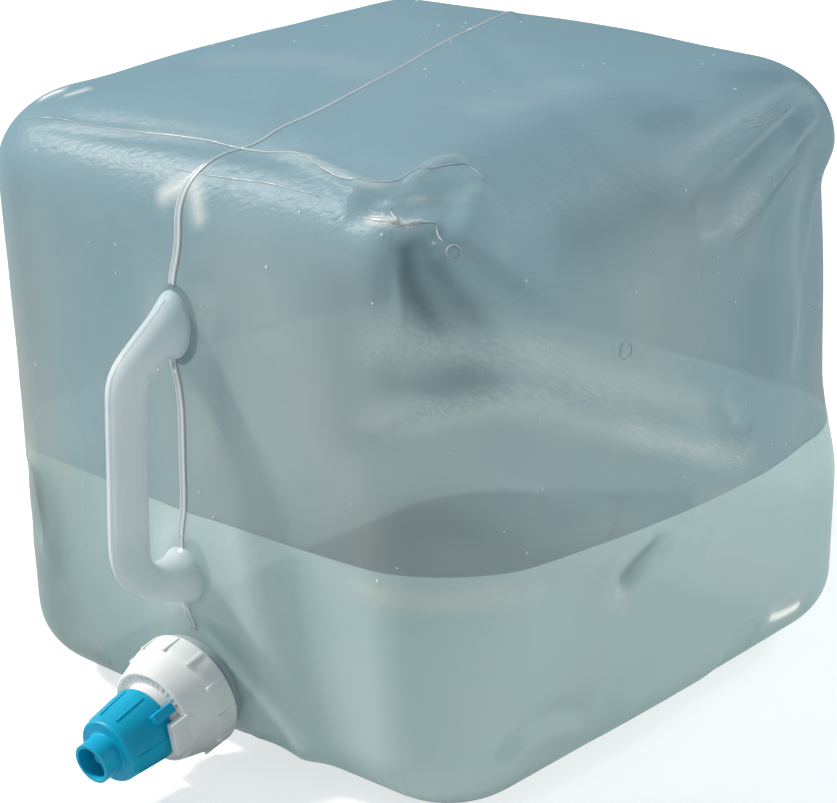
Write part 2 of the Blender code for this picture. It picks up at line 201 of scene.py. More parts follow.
def make_world():
    """White where the camera sees it; the light that it gives is a pale sky, softer towards the horizon."""
    world = bpy.data.worlds.new("studio")
    world.use_nodes = True
    bpy.context.scene.world = world
    tree = world.node_tree
    height = place_on(tree, "Z", "Generated")
    seen = add(tree, "LightPath").outputs["Is Camera Ray"]
    color = mix_color(tree, seen, ramp(tree, height, SKY_TONES), WHITE)
    tree.links.new(color, tree.nodes["Background"].inputs["Color"])


# Nodes


def add(tree, kind, inputs=(), **settings):
    """A node with its settings, and inputs of {socket name or number: value or another node's output}."""
    made = tree.nodes.new("ShaderNode" + kind)
    for name, value in settings.items():
        setattr(made, name, value)
    for key, value in dict(inputs).items():
        socket = made.inputs[key]
        if isinstance(value, bpy.types.NodeSocket):
            tree.links.new(value, socket)
        else:
            socket.default_value = value
    return made


def first(tree, kind, inputs=(), **settings):
    """The first output of a new node."""
    return add(tree, kind, inputs, **settings).outputs[0]


def plus(tree, one, other, clamp=False):
    return first(tree, "Math", {0: one, 1: other}, operation="ADD", use_clamp=clamp)


def times(tree, one, other, clamp=False):
    return first(tree, "Math", {0: one, 1: other}, operation="MULTIPLY", use_clamp=clamp)


def stronger(tree, one, other):
    return first(tree, "Math", {0: one, 1: other}, operation="MAXIMUM")


def over(tree, one, other):
    return first(tree, "Math", {0: one, 1: other}, operation="GREATER_THAN")


def mix_color(tree, factor, one, other):
    return first(tree, "MixRGB", {"Fac": factor, 1: one, 2: other})


def mix_shaders(tree, factor, one, other):
    return first(tree, "MixShader", {0: factor, 1: one, 2: other})


def clear(tree, color=WHITE):
    return first(tree, "BsdfTransparent", {"Color": color})


def bump(tree, height, strength, distance):
    return first(tree, "Bump", {"Height": height, "Strength": strength, "Distance": distance})


def attribute(tree, name):
    """A measure that the mesh carries at each of its points."""
    return add(tree, "Attribute", attribute_name=name).outputs["Fac"]


def place_on(tree, axis, coordinates="Object"):
    return add(tree, "SeparateXYZ", {0: add(tree, "TexCoord").outputs[coordinates]}).outputs[axis]


def facing(tree, blend):
    return add(tree, "LayerWeight", {"Blend": blend}).outputs["Facing"]


def spread(tree, value, start, end, low=0.0, high=1.0, curve="LINEAR"):
    """Low where the value is at start, high where it is at end, and between the two a line or a curve."""
    inputs = {"Value": value, "From Min": start, "From Max": end, "To Min": low, "To Max": high}
    return first(tree, "MapRange", inputs, interpolation_type=curve)


def ramp(tree, factor, stops):
    made = add(tree, "ValToRGB", {"Fac": factor})
    band = made.color_ramp
    while len(band.elements) < len(stops):
        band.elements.new(0.5)
    for element, (place, color) in zip(band.elements, stops):
        element.position = place
        element.color = (*color, 1.0)
    return made.outputs["Color"]


def stretched_noise(tree, scale, stretch, turn=(0.0, 0.0, 0.0), detail=2.0):
    """Noise in the object's own metres, turned first and then squeezed by stretch along each axis."""
    place = add(tree, "TexCoord").outputs["Object"]
    aslant = first(tree, "Mapping", {"Vector": place, "Rotation": turn})
    squeezed = first(tree, "Mapping", {"Vector": aslant, "Scale": stretch})
    return first(tree, "TexNoise", {"Vector": squeezed, "Scale": scale, "Detail": detail})


def even_noise(tree, scale, detail):
    return stretched_noise(tree, scale, (1.0, 1.0, 1.0), detail=detail)


def new_material(name):
    material = bpy.data.materials.new(name)
    material.use_nodes = True
    material.node_tree.nodes.clear()
    return material, material.node_tree


def finish_material(tree, surface):
    tree.links.new(surface, add(tree, "OutputMaterial").inputs["Surface"])


# Materials


def film_wear_and_highlights(tree):
    """How much wear the film shows, with scratches in its scuffs and painted glitter, together with its
    painted highlights, and how strongly its painted glints glow.
    """
    scuff_and_glitter, painted_highlight = attribute(tree, "scuff_and_glitter"), attribute(tree, "painted_highlight")
    scratches = stretched_noise(tree, 1.0, (700.0, 900.0, 110.0), SCRATCH_TURN, detail=3.0)
    # scratches in the scuffs and their painted glitter
    scratched_scuff_and_glitter = times(tree, scuff_and_glitter, spread(tree, scratches, 0.42, 0.70), clamp=True)
    scratched_scuff_and_glitter = plus(tree, scratched_scuff_and_glitter, times(tree, scuff_and_glitter, 0.30))
    # the painted highlights join the scuffs; the whitest give the strength of the painted glints
    return plus(tree, scratched_scuff_and_glitter, painted_highlight, clamp=True), spread(tree, painted_highlight, 0.80, 1.0, high=0.80)


def film_color(tree, tone, high, wet, dark, pale, wear_and_highlight):
    color = ramp(tree, tone, FILM_TONES)
    # painted sky reflection: bluer towards the top
    color = mix_color(tree, high, color, FILM_TOP_SKY_REFLECTION_COLOR)
    # paler below the water, more so from the left to the right side: partly the wet film, partly painted
    # sunlight
    wet_and_sunlit_share = spread(tree, place_on(tree, "X"), -0.11, 0.06, 0.12, 0.94, "SMOOTHSTEP")
    color = mix_color(tree, times(tree, wet, wet_and_sunlit_share), color, FILM_WET_AND_SUNLIT_COLOR)
    # painted shade, then painted light, along the folds
    color = mix_color(tree, dark, color, FILM_PAINTED_SHADE_COLOR)
    color = mix_color(tree, pale, color, FILM_PAINTED_LIGHT_COLOR)
    # scuffs, painted glitter and painted highlights
    return mix_color(tree, wear_and_highlight, color, FILM_WEAR_AND_HIGHLIGHT_COLOR)


def film_bump(tree, high):
    """A fine grain all over, and ripples that are strongest on top."""
    ripple = stretched_noise(tree, 1.0, (70.0, 420.0, 420.0), RIPPLE_TURN)
    grain = even_noise(tree, 900.0, 1.0)
    relief = plus(tree, times(tree, ripple, plus(tree, high, 0.12)), times(tree, grain, 0.10))
    return bump(tree, relief, 0.5, 0.0010)


def film_material():
    """Clear polyethylene film gone slightly milky: tinted and glossy, with scuffs and painted glitter along
    its folds, painted shade and painted light in them, painted glinting highlights, a painted sky reflection
    towards the top, and paler where the water wets it from inside, partly as the wet film and partly as
    painted sunlight through the water."""
    material, tree = new_material("bag_film")
    tone = stretched_noise(tree, 7.0, (1.0, 1.0, 0.7), detail=3.0)
    high = spread(tree, place_on(tree, "Z"), 0.22, 0.285, curve="SMOOTHSTEP")
    wet = spread(tree, attribute(tree, "over_water"), 0.0, -0.0006)
    # painted shade (below 0) and painted light (above 0) along the folds
    shade = attribute(tree, "shade")
    dark, pale = times(tree, shade, -1.0, clamp=True), times(tree, shade, 1.0, clamp=True)
    wear_and_highlight, glint = film_wear_and_highlights(tree)
    color = film_color(tree, tone, high, wet, dark, pale, wear_and_highlight)
    roughness = plus(tree, times(tree, tone, 0.16), 0.20)
    roughness = plus(tree, roughness, times(tree, wear_and_highlight, 0.15))
    roughness = plus(tree, roughness, times(tree, high, 0.14))
    skin = first(
        tree,
        "BsdfPrincipled",
        {
            "Base Color": color,
            "Roughness": roughness,
            "Normal": film_bump(tree, high),
            "IOR": 1.52,
            "Specular IOR Level": 0.28,
            # painted glints: the film glows at its whitest painted highlights
            "Emission Color": GLINT_COLOR,
            "Emission Strength": glint,
        },
    )
    glow = first(tree, "BsdfTranslucent", {"Color": color})
    sheet = mix_shaders(tree, plus(tree, times(tree, wet, 0.08), 0.30), skin, glow)
    tint = mix_color(tree, wet, FILM_DRY_TINT, FILM_WET_TINT)
    milky = plus(tree, times(tree, facing(tree, 0.35), 0.30), 0.50)
    marked = stronger(tree, stronger(tree, dark, pale), wear_and_highlight)
    milky = plus(tree, milky, times(tree, marked, 0.30), clamp=True)
    finish_material(tree, mix_shaders(tree, milky, clear(tree, tint), sheet))
    return material


def milky_material(name, color, deep, opacity, roughness, glow_share=0.30, tint=MILKY_TINT, fade=None):
    """Thicker moulded polyethylene, whiter than the film. With fade, (from Y, to Y, opacity lost), it takes
    on the film's tone between the two."""
    material, tree = new_material(name)
    tone = stretched_noise(tree, 28.0, (1.0, 1.0, 0.5), detail=3.0)
    shade = ramp(tree, tone, ((0.32, deep), (0.68, color)))
    milky = opacity
    if fade:
        start, end, lost = fade
        faded = spread(tree, place_on(tree, "Y"), start, end, curve="SMOOTHSTEP")
        shade = mix_color(tree, faded, shade, HANDLE_ROOT_COLOR)
        milky = plus(tree, times(tree, faded, -lost), opacity)
        tint = mix_color(tree, faded, tint, WHITE)
    fine = stretched_noise(tree, 500.0, (1.0, 1.0, 0.3))
    skin = first(
        tree,
        "BsdfPrincipled",
        {
            "Base Color": shade,
            "Roughness": plus(tree, times(tree, tone, 0.12), roughness),
            "Normal": bump(tree, fine, 0.25, 0.0003),
            "IOR": 1.5,
        },
    )
    wall = mix_shaders(tree, glow_share, skin, first(tree, "BsdfTranslucent", {"Color": shade}))
    milky = times(tree, milky, plus(tree, facing(tree, 0.4), 1.0), clamp=True)
    finish_material(tree, mix_shaders(tree, milky, clear(tree, tint), wall))
    return material


def water_material():
    """Clear water: nearly unseen from inside, faintly milky at its sides, and reflecting on top."""
    material, tree = new_material("water")
    tone = stretched_noise(tree, 11.0, (1.0, 1.0, 1.6))
    body = first(
        tree,
        "BsdfPrincipled",
        {
            "Base Color": ramp(tree, tone, WATER_TONES),
            "Roughness": 0.08,
            "IOR": 1.33,
            "Normal": bump(tree, even_noise(tree, 30.0, 1.0), 0.2, 0.002),
        },
    )
    side = mix_shaders(tree, 0.40, clear(tree, WATER_SIDE_TINT), body)
    mirror = first(tree, "BsdfGlossy", {"Color": WATER_MIRROR, "Roughness": 0.08})
    surface = mix_shaders(tree, first(tree, "Fresnel", {"IOR": 1.25}), clear(tree, WATER_TOP_TINT), mirror)
    shape = add(tree, "NewGeometry").outputs
    upward = add(tree, "SeparateXYZ", {0: shape["True Normal"]}).outputs["Z"]
    on_top = times(tree, over(tree, place_on(tree, "Z"), 0.8 * WATER_LEVEL), over(tree, upward, 0.9))
    outside = mix_shaders(tree, on_top, side, surface)
    finish_material(tree, mix_shaders(tree, shape["Backfacing"], outside, clear(tree)))
    return material


def moulded_material(name, light, dark, roughness, scatter, glow):
    """Injection-moulded plastic: fine flow variation, a satin skin and faint scuffs."""
    material, tree = new_material(name)
    tone = stretched_noise(tree, 90.0, (1.0, 0.4, 1.0), detail=4.0)
    scratches = stretched_noise(tree, 1.0, (2200.0, 300.0, 300.0), (0.4, 0.2, 0.8))
    relief = plus(tree, even_noise(tree, 1600.0, 2.0), times(tree, scratches, 0.6))
    skin = first(
        tree,
        "BsdfPrincipled",
        {
            "Base Color": ramp(tree, tone, ((0.30, dark), (0.66, light))),
            "Roughness": plus(tree, times(tree, scratches, 0.18), roughness),
            "Normal": bump(tree, relief, 0.18, 0.0002),
            "Subsurface Weight": scatter,
            "Subsurface Radius": glow,
            "Subsurface Scale": 0.004,
            "IOR": 1.48,
            "Specular IOR Level": 0.32,
        },
    )
    finish_material(tree, skin)
    return material


def floor_material():
    """Pale to the eye, with little of its light thrown back on the carrier."""
    material, tree = new_material("floor")
    seen = add(tree, "LightPath").outputs["Is Camera Ray"]
    skin = first(
        tree,
        "BsdfPrincipled",
        {
            "Base Color": ramp(tree, even_noise(tree, 3.0, 4.0), FLOOR_TONES),
            "Roughness": 0.75,
            "Emission Color": WHITE,
            "Emission Strength": times(tree, seen, 0.62),
        },
    )
    finish_material(tree, skin)
    return material


# Shapes


def add_piece(name, mesh, material, body, replaces=()):
    piece = placed(name, mesh)
    mesh.materials.clear()
    mesh.materials.append(material)
    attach(piece, body)
    if replaces:
        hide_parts(*replaces)
    return piece


def add_film_piece(name, mesh, material, replaces=()):
    """A piece of the bag, which folds with it."""
    piece = add_piece(name, mesh, material, "root", replaces)
    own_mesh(piece)


def full_turn(count):
    """The angles of count even steps round a circle."""
    return [number / count * math.tau for number in range(count)]


def smooth_path(points, steps):
    """A Catmull-Rom curve through points, as an array."""
    points = np.array(points, float)
    padded = np.vstack((2 * points[0] - points[1], points, 2 * points[-1] - points[-2]))
    share = np.linspace(0.0, 1.0, steps, endpoint=False)[:, None]
    parts = []
    for before, start, end, after in zip(padded, padded[1:], padded[2:], padded[3:]):
        slope = (end - before) / 2
        next_slope = (after - start) / 2
        parts.append(
            start * (2 * share**3 - 3 * share**2 + 1)
            + slope * (share**3 - 2 * share**2 + share)
            + end * (3 * share**2 - 2 * share**3)
            + next_slope * (share**3 - share**2)
        )
    return np.vstack((*parts, points[-1:]))


def path_distance(points, path):
    """How far each point is from the path, and how far along it (0 to 1) the nearest place is."""
    nearest = np.full(len(points), 1e9)
    share = np.zeros(len(points))
    count = len(path) - 1
    for number, (start, end) in enumerate(zip(path, path[1:])):
        step = end - start
        along = np.clip((points - start) @ step / (step @ step), 0.0, 1.0)
        gap = np.linalg.norm(points - start - along[:, None] * step, axis=1)
        closer = gap < nearest
        nearest[closer] = gap[closer]
        share[closer] = (number + along[closer]) / count
    return nearest, share


def smoothstep(values):
    values = np.clip(values, 0.0, 1.0)
    return values * values * (3 - 2 * values)


# Film


def film_points(cube):
    """The bag's outside, for points of a cube from -1 to 1: the CAD's film_point for an array."""
    half = BAG / 2
    level = np.where(cube[:, 2] > 0, TOP_RADIUS, BOTTOM_RADIUS)
    radii = np.stack((np.full(len(cube), UPRIGHT_RADIUS), np.full(len(cube), UPRIGHT_RADIUS), level), -1)
    reach = half - radii
    middle = np.clip(cube * half, -reach, reach)
    away = (cube * half - middle) / radii
    away /= np.linalg.norm(away, axis=1, keepdims=True)
    points = middle + away * radii
    x, y, z = (points / half).T
    band = 1 - z * z
    points[:, 1] -= FRONT_BULGE * (1 - x * x) * band * (1 - FRONT_SAG * z) * np.maximum(0, -y) ** 4
    points[:, 1] += BACK_BULGE * (1 - x * x) * band * np.maximum(0, y) ** 4
    points[:, 0] += RIGHT_BULGE * (1 - y * y) * band * np.maximum(0, x) ** 4
    points[:, 0] -= LEFT_BULGE * (1 - y * y) * band * np.maximum(0, -x) ** 4
    points[:, 2] += BAG[2] / 2 + TOP_CROWN * (1 - x * x) * (1 - y * y) * np.maximum(0, z) ** 4
    aside = points[:, 0] - SPIGOT_CENTRE.x
    above = points[:, 2] - SPIGOT_CENTRE.z
    seat = SPIGOT_CENTRE.y - NECK_SEAT - above * math.tan(SPIGOT_DROOP)
    pull = np.exp(-((np.hypot(aside, above) / NECK_SEAT_REACH) ** 4)) * np.clip(-y, 0, 1) ** 8
    points[:, 1] += pull * (seat - points[:, 1])
    return points


# The small arch on the edge over the sunken near corner, in mm
ARCH_LEFT = ((25, -123, 277), (50, -121, 278), (72, -124, 276), (95, -126, 274), (107, -121, 276))
ARCH_RIGHT = ((107, -121, 276), (111, -114, 278), (110, -104, 280), (113, -95, 281), (121, -94, 278))

# Folds in the film, as (points of the fold's line in mm, width in mm, height in mm, power):
# a negative height sinks. A power of 2 is a soft fold and 1 a sharp one.
FOLDS = (
    # the crease between the top and the front, from the left corner to the sunken near corner
    (((-112, -124, 270), (-70, -126, 274), (-20, -121, 277), (30, -119, 278), (62, -119, 278)), 7.0, -1.5, 2),
    (((-112, -130, 268), (-65, -128, 273), (-20, -124, 276), (20, -123, 277)), 2.6, 0.9, 2),
    (ARCH_LEFT, 2.6, 1.5, 2),
    (ARCH_RIGHT, 2.8, 1.5, 2),
    (((121, -94, 278), (128, -98, 273), (133, -104, 268)), 2.8, 0.8, 2),
    (((-105, -113, 279), (-98, -98, 282), (-86, -84, 283), (-62, -70, 284)), 6.0, 0.8, 2),
    # the sunken near corner below the arch, and the pucker's rays
    (((88, -133, 268), (108, -130, 270), (124, -122, 270), (135, -112, 266)), 9.0, -2.8, 2),
    (((97, -136, 265), (108, -135, 265), (117, -133, 265)), 2.2, 1.3, 1),
    (((117, -133, 265), (124, -128, 266), (130, -124, 264)), 2.0, 1.0, 1),
    (((117, -133, 265), (111, -134, 268), (104, -133, 269)), 2.0, 0.9, 1),
    (((118, -124, 272), (117, -129, 268), (117, -133, 265)), 2.4, -0.9, 1),
    (((117, -133, 265), (127, -134, 252), (134, -131, 236), (139, -126, 222)), 6.0, -3.2, 2),
    (((117, -133, 265), (118, -138, 250), (116, -143, 228)), 5.0, -1.6, 2),
    (((120, -136, 256), (122, -139, 240), (125, -139, 222)), 4.0, 1.5, 2),
    (((130, -125, 261), (137, -124, 252), (146, -104, 240), (153, -78, 226)), 6.5, 1.8, 2),
    (((132, -128, 252), (143, -117, 240), (150, -96, 224), (154, -74, 208)), 7.5, -2.2, 2),
    # the long folds from the far top corner down the right side
    (((133, 122, 268), (141, 92, 263), (146, 58, 258), (150, 24, 250), (153, -6, 239)), 9.0, -3.6, 2),
    (((138, 118, 262), (147, 86, 252), (152, 52, 240), (155, 22, 230), (156, -8, 218)), 7.0, 2.6, 2),
    (((144, 112, 254), (151, 84, 238), (155, 58, 222), (157, 34, 204)), 9.0, -2.4, 2),
    (((145, 118, 240), (152, 98, 214), (155, 84, 180), (155, 78, 150)), 8.0, 1.6, 2),
    # the shallow arched folds above the water, which meet near the right side's middle
    (((93, -146, 205), (121, -140, 220), (134, -131, 218), (151, -104, 208), (157, -63, 184), (160, -20, 163),
      (161, 14, 148)), 8.0, 1.5, 2),
    (((87, -147, 176), (112, -145, 184), (133, -132, 192), (151, -105, 193), (158, -60, 167), (161, -20, 146),
      (161, 20, 131)), 7.0, 2.2, 2),
    (((100, -146, 192), (126, -137, 204), (145, -116, 204), (156, -75, 188), (160, -35, 165), (161, 0, 148)),
     7.0, -1.6, 2),
    (((161, 2, 160), (161, 8, 146), (161, 18, 133)), 3.5, -1.6, 1),
    (((161, 18, 133), (161, 30, 140), (160, 40, 147)), 3.0, 1.2, 1),
    # the wedge-shaped dent below the water's edge
    (((160, -18, 104), (158, -40, 98), (157, -54, 90)), 5.0, -2.6, 2),
    (((160, -30, 112), (158, -55, 106), (157, -64, 93)), 3.5, 1.1, 2),
    # the fold over the near bottom corner, and the pleats in the left and back sides
    (((143, -117, 27), (147, -108, 36), (149, -92, 38), (149, -66, 30)), 5.0, 1.8, 2),
    (((141, -119, 33), (146, -110, 43), (149, -90, 46), (150, -62, 38)), 5.0, -1.8, 2),
    (((-110, -146, 126), (-104, -148, 102), (-99, -149, 84), (-99, -148, 56)), 7.0, 2.2, 2),
    (((-122, -142, 112), (-118, -144, 92), (-118, -142, 66)), 9.0, -3.4, 2),
    (((-140, 92, 262), (-152, 60, 240), (-160, 20, 205), (-163, -20, 175)), 10.0, -3.0, 2),
    (((-133, -118, 262), (-150, -86, 236), (-160, -44, 200), (-163, -4, 168)), 9.0, -2.6, 2),
    (((-150, 100, 60), (-160, 62, 84), (-164, 16, 96), (-162, -36, 92)), 9.0, 1.8, 2),
    (((-108, 132, 262), (-66, 150, 240), (-10, 158, 205), (40, 159, 176)), 10.0, -3.0, 2),
    (((112, 134, 258), (84, 148, 232), (52, 157, 196), (30, 160, 160)), 9.0, -2.6, 2),
    (((-120, 132, 50), (-70, 152, 74), (-10, 158, 84), (60, 155, 70)), 9.0, 1.6, 2),
    # where the outline draws in: the far right edge, the top's left edge and the left side
    (((152, 112, 246), (154, 110, 222), (155, 108, 192), (154, 108, 160), (152, 108, 124), (150, 108, 84)),
     40.0, -6.8, 2),
    (((-128, -110, 276), (-130, -60, 277), (-130, 0, 277), (-128, 60, 276)), 15.0, -2.4, 2),
    (((-140, -118, 150), (-141, -118, 110), (-139, -118, 70), (-135, -117, 36)), 16.0, -2.0, 2),
    (((150, -60, 30), (151, -10, 26), (148, 40, 26)), 14.0, 1.6, 2),
    (((70, -143, 22), (45, -147, 14), (28, -150, 16), (26, -152, 26)), 8.0, 3.6, 2),
    (((-70, -143, 22), (-45, -147, 15), (-30, -150, 18)), 7.0, 1.6, 2),
)
# The mould's parting line on the film, in mm, from the handle's upper root over the top to the back
SEAM = (
    (0, -147, 221), (0, -146, 230), (1, -145, 243), (1, -142, 256), (3, -137, 265), (9, -130, 272),
    (17, -122, 277), (25, -113, 281), (27, -97, 284), (20, -60, 286), (9, -18, 287), (-9, 34, 287),
    (-33, 96, 284), (-50, 132, 277),
)
SEAM_BEHIND = (
    (-50, 132, 277), (-53, 144, 262), (-46, 151, 225), (-30, 157, 160), (-14, 154, 80), (-4, 146, 22),
    (0, 132, 4),
)
SEAM_IN_HOLE = ((0, -147, 194), (0, -149, 160), (0, -151, 130), (0, -152, 100))
SEAM_BELOW = ((0, -152, 84), (0, -152, 74), (0, -151, 65))

# Marks on the film, as (points of the line in mm, width in mm, strength from 0 to 1)
# scuffs along the arched folds, the wedge and the pucker, with painted glitter highlights laid in with them
SCUFFS_AND_GLITTER = (
    (((93, -146, 205), (121, -140, 220), (134, -131, 218), (151, -104, 208), (157, -63, 184),
      (160, -20, 166)), 8.0, 0.30),
    (((112, -145, 184), (133, -132, 192), (143, -122, 195), (152, -100, 192), (156, -78, 180)), 5.0, 0.34),
    (((157, -66, 170), (158, -45, 160), (160, -20, 147), (161, 5, 136), (161, 26, 127), (160, 42, 121)),
     5.5, 0.46),
    (((155, 20, 228), (153, 34, 234), (151, 50, 240)), 5.0, 0.35),
    (((157, -56, 94), (156, -64, 92)), 6.0, 0.35),
    (((97, -136, 265), (108, -135, 265), (117, -133, 265), (124, -128, 266)), 2.6, 0.8),
)
# painted highlights, glints and reflections on the film; the strongest glow as painted glints
PAINTED_HIGHLIGHTS = (
    (((9, -136, 267), (0, -139, 262), (-7, -141, 258), (-15, -143, 252)), 5.0, 0.85),
    (((0, -137, 266), (8, -140, 260), (12, -143, 254), (16, -145, 245)), 4.5, 0.80),
    (((-105, -130, 271), (-65, -128, 273), (-25, -124, 276), (10, -122, 277)), 2.0, 0.40),
    (((-60, -123, 276), (-20, -121, 277), (20, -121, 278), (55, -119, 279)), 4.0, 0.18),
    (ARCH_LEFT, 1.8, 0.45),
    (ARCH_RIGHT, 1.8, 0.35),
    (((149, 56, 35), (149, 76, 30), (147, 96, 30)), 7.0, 1.0),
    (((112, -126, 271), (116, -122, 272), (120, -119, 272)), 1.8, 0.8),
    (((100, -136, 265), (110, -135, 265), (119, -132, 265)), 2.2, 1.0),
    (((-117, -120, 274), (-112, -114, 278), (-106, -110, 280)), 3.0, 1.0),
    (((-103, -117, 278), (-98, -112, 280), (-93, -106, 282)), 1.6, 0.9),
    (((84, -149, 112), (110, -146, 111), (130, -137, 110), (145, -120, 111), (152, -104, 112)), 4.0, 0.55),
)
# Painted shade (below 0) and painted light (above 0) on the film, in its folds and at the water's edge,
# as (points in mm, width in mm, strength)
PAINTED_SHADE_AND_LIGHT = (
    (((112, -134, 266), (125, -138, 250), (131, -133, 232), (140, -125, 212), (146, -118, 190)), 17.0, -0.56),
    (((119, -133, 264), (127, -133, 258), (136, -129, 244), (142, -122, 231), (148, -112, 216)), 5.0, -0.35),
    (((118, -134, 263), (122, -138, 254), (125, -138, 242), (131, -134, 228), (135, -130, 218)), 4.0, -0.42),
    (((122, -131, 264), (133, -126, 260), (143, -117, 251), (148, -106, 240), (152, -88, 226)), 4.5, -0.35),
    (((77, -131, 271), (98, -130, 271), (115, -125, 273), (120, -114, 276), (123, -102, 276)), 5.0, -0.25),
    (((108, -145, 197), (120, -141, 199), (134, -132, 199), (144, -120, 199), (150, -104, 199)), 9.0, -0.26),
    (((147, -90, 250), (149, -51, 250), (149, -24, 252), (147, 10, 256)), 16.0, -0.36),
    (((135, 113, 267), (142, 83, 262), (147, 57, 255), (151, 32, 248), (152, 9, 244), (153, -15, 239)),
     5.5, -0.30),
    (((140, 108, 263), (147, 86, 253), (150, 75, 242), (152, 56, 234), (154, 34, 226), (156, 21, 217)),
     6.0, -0.30),
    (((126, -6, 276), (129, 17, 275), (128, 40, 275)), 7.0, -0.25),
    (((118, 66, 279), (122, 91, 277), (129, 108, 272)), 6.0, -0.25),
    (((155, 54, 208), (158, 47, 179), (159, 50, 146)), 16.0, -0.18),
    (((110, -147, 130), (132, -135, 129), (147, -116, 130), (155, -88, 128), (159, -54, 122), (160, 0, 118)),
     9.0, 0.10),
    (((161, 6, 159), (161, 19, 142), (160, 29, 129)), 2.8, -0.30),
    (((160, 39, 144), (160, 34, 136), (160, 30, 129)), 2.6, -0.25),
    (((160, -23, 108), (159, -35, 101), (158, -44, 95), (157, -54, 88)), 5.0, -0.50),
    (((115, -107, 279), (116, -74, 280), (111, -31, 282), (111, 8, 282), (117, 41, 280)), 15.0, -0.16),
    (((-108, -139, 262), (-107, -144, 240), (-105, -146, 200), (-104, -148, 160)), 12.0, -0.12),
    (((56, -128, 273), (20, -128, 272), (-30, -130, 271), (-80, -132, 268)), 4.0, -0.15),
    (((-108, -140, 112), (-106, -146, 84), (-104, -146, 52), (-98, -143, 24)), 24.0, -0.30),
    (((88, -143, 255), (96, -145, 224), (98, -146, 192), (97, -148, 157)), 18.0, -0.30),
    (((15, -147, 228), (18, -149, 206), (16, -149, 186)), 6.0, 0.22),
    (((23, -147, 214), (24, -148, 190), (25, -149, 160), (25, -150, 125)), 7.0, -0.16),
    (((-112, -143, 110), (-106, -146, 90), (-104, -146, 66)), 8.0, -0.18),
    (((121, -136, 259), (130, -134, 250), (137, -128, 236), (142, -123, 223)), 3.5, 0.10),
    (((133, -128, 257), (143, -117, 250), (149, -104, 238), (151, -89, 222)), 4.0, 0.10),
    (((122, -113, 275), (126, -113, 273), (129, -109, 272), (127, -99, 274)), 3.0, 0.22),
    (((88, -146, 209), (113, -144, 215), (134, -132, 218), (146, -116, 216), (151, -99, 210), (154, -78, 200),
      (157, -57, 188), (159, -34, 176), (161, -9, 162), (161, 12, 148), (160, 30, 138)), 9.0, 0.42),
    (((95, -147, 174), (112, -145, 182), (127, -137, 186), (140, -126, 190), (148, -114, 190),
      (153, -96, 184), (156, -75, 173), (158, -53, 163), (161, -23, 149), (161, -3, 139), (160, 23, 127),
      (160, 44, 119)), 7.0, 0.46),
    (((161, 10, 160), (160, 20, 150), (160, 26, 142)), 6.0, 0.26),
    (((160, -9, 112), (160, 1, 115), (160, 20, 110), (159, 40, 104)), 6.0, 0.32),
    (((157, -56, 93), (157, -51, 85), (157, -45, 80)), 5.0, 0.70),
    (((141, 96, 263), (146, 78, 257), (150, 57, 247), (153, 32, 237), (154, 13, 230), (155, -2, 223)),
     4.5, 0.18),
    (((142, 16, 263), (140, 38, 265), (139, 62, 266), (137, 87, 268)), 5.0, 0.12),
    (((149, 98, 246), (151, 91, 225), (154, 83, 200), (155, 81, 168), (155, 80, 140)), 5.0, 0.20),
    (((154, -33, 230), (156, -36, 210), (158, -32, 192)), 12.0, 0.10),
    (((92, -148, 110), (118, -144, 109), (134, -132, 108), (147, -116, 108), (155, -88, 106)), 4.5, 0.75),
    (((159, -7, 92), (158, 16, 80), (154, 51, 60), (150, 79, 36)), 12.0, 0.40),
    (((26, -136, 266), (40, -142, 250), (48, -146, 226), (50, -148, 196)), 18.0, 0.10),
    (((-100, -132, 268), (-60, -134, 266), (-20, -136, 264), (20, -136, 264)), 9.0, 0.12),
    (((-92, -60, 284), (-60, -38, 285), (-20, -28, 286), (20, -40, 286)), 14.0, 0.12),
    (((75, -60, 284), (87, -21, 285), (84, 28, 285)), 18.0, 0.10),
)
# Sharp ridges where the film has whitened along a fold, in mm, each with its widest half width
RIDGES = (
    (((-112, -129, 269), (-88, -127, 272), (-50, -126, 274), (-14, -123, 276), (16, -122, 277),
      (50, -121, 278), (78, -126, 275), (98, -124, 275), (108, -116, 277), (113, -106, 279), (118, -96, 280),
      (128, -97, 274)), 0.5),
    (((-8, -136, 266), (20, -135, 267), (48, -134, 269), (74, -134, 268)), 0.4),
    (((94, -136, 265), (106, -136, 265), (117, -133, 265), (123, -129, 266), (129, -124, 265)), 1.15),
    (((108, -130, 271), (113, -132, 268), (117, -133, 265)), 0.8),
    (((97, -133, 269), (106, -133, 268), (111, -134, 266)), 0.5),
    (((134, -127, 258), (131, -127, 261), (129, -125, 264)), 0.5),
    (((139, 58, 266), (138, 73, 266), (136, 91, 268)), 0.4),
    (((143, 62, 263), (142, 78, 263), (139, 96, 265)), 0.35),
)
FOLD_STRENGTH = 1.5
BROAD_WAVES, FINE_WAVES = 0.0016, 0.0005  # heights of the film's slack
NECK_FADE = 0.012  # the relief sets in over this distance round the neck

# The sides of a cube, as (normal, across, up): front, back, right, left, top and bottom
FRONT = ((0, -1, 0), (1, 0, 0), (0, 0, 1))
RIGHT = ((1, 0, 0), (0, 1, 0), (0, 0, 1))
TOP = ((0, 0, 1), (1, 0, 0), (0, 1, 0))
SIDES = (
    FRONT,
    ((0, 1, 0), (-1, 0, 0), (0, 0, 1)),
    RIGHT,
    ((-1, 0, 0), (0, -1, 0), (0, 0, 1)),
    TOP,
    ((0, 0, -1), (-1, 0, 0), (0, 1, 0)),
)

# Where the front is drawn out to meet the handle's roots: (X and Z of the oval's middle, its half width and
# half height, how far out, how far the fillet reaches beyond the oval)
ROOT_FILLETS = (
    ((0.0, 0.204), 0.0100, 0.0175, 0.0046, 0.0100),
    ((0.0, 0.0925), 0.0115, 0.0175, 0.0040, 0.0090),
)


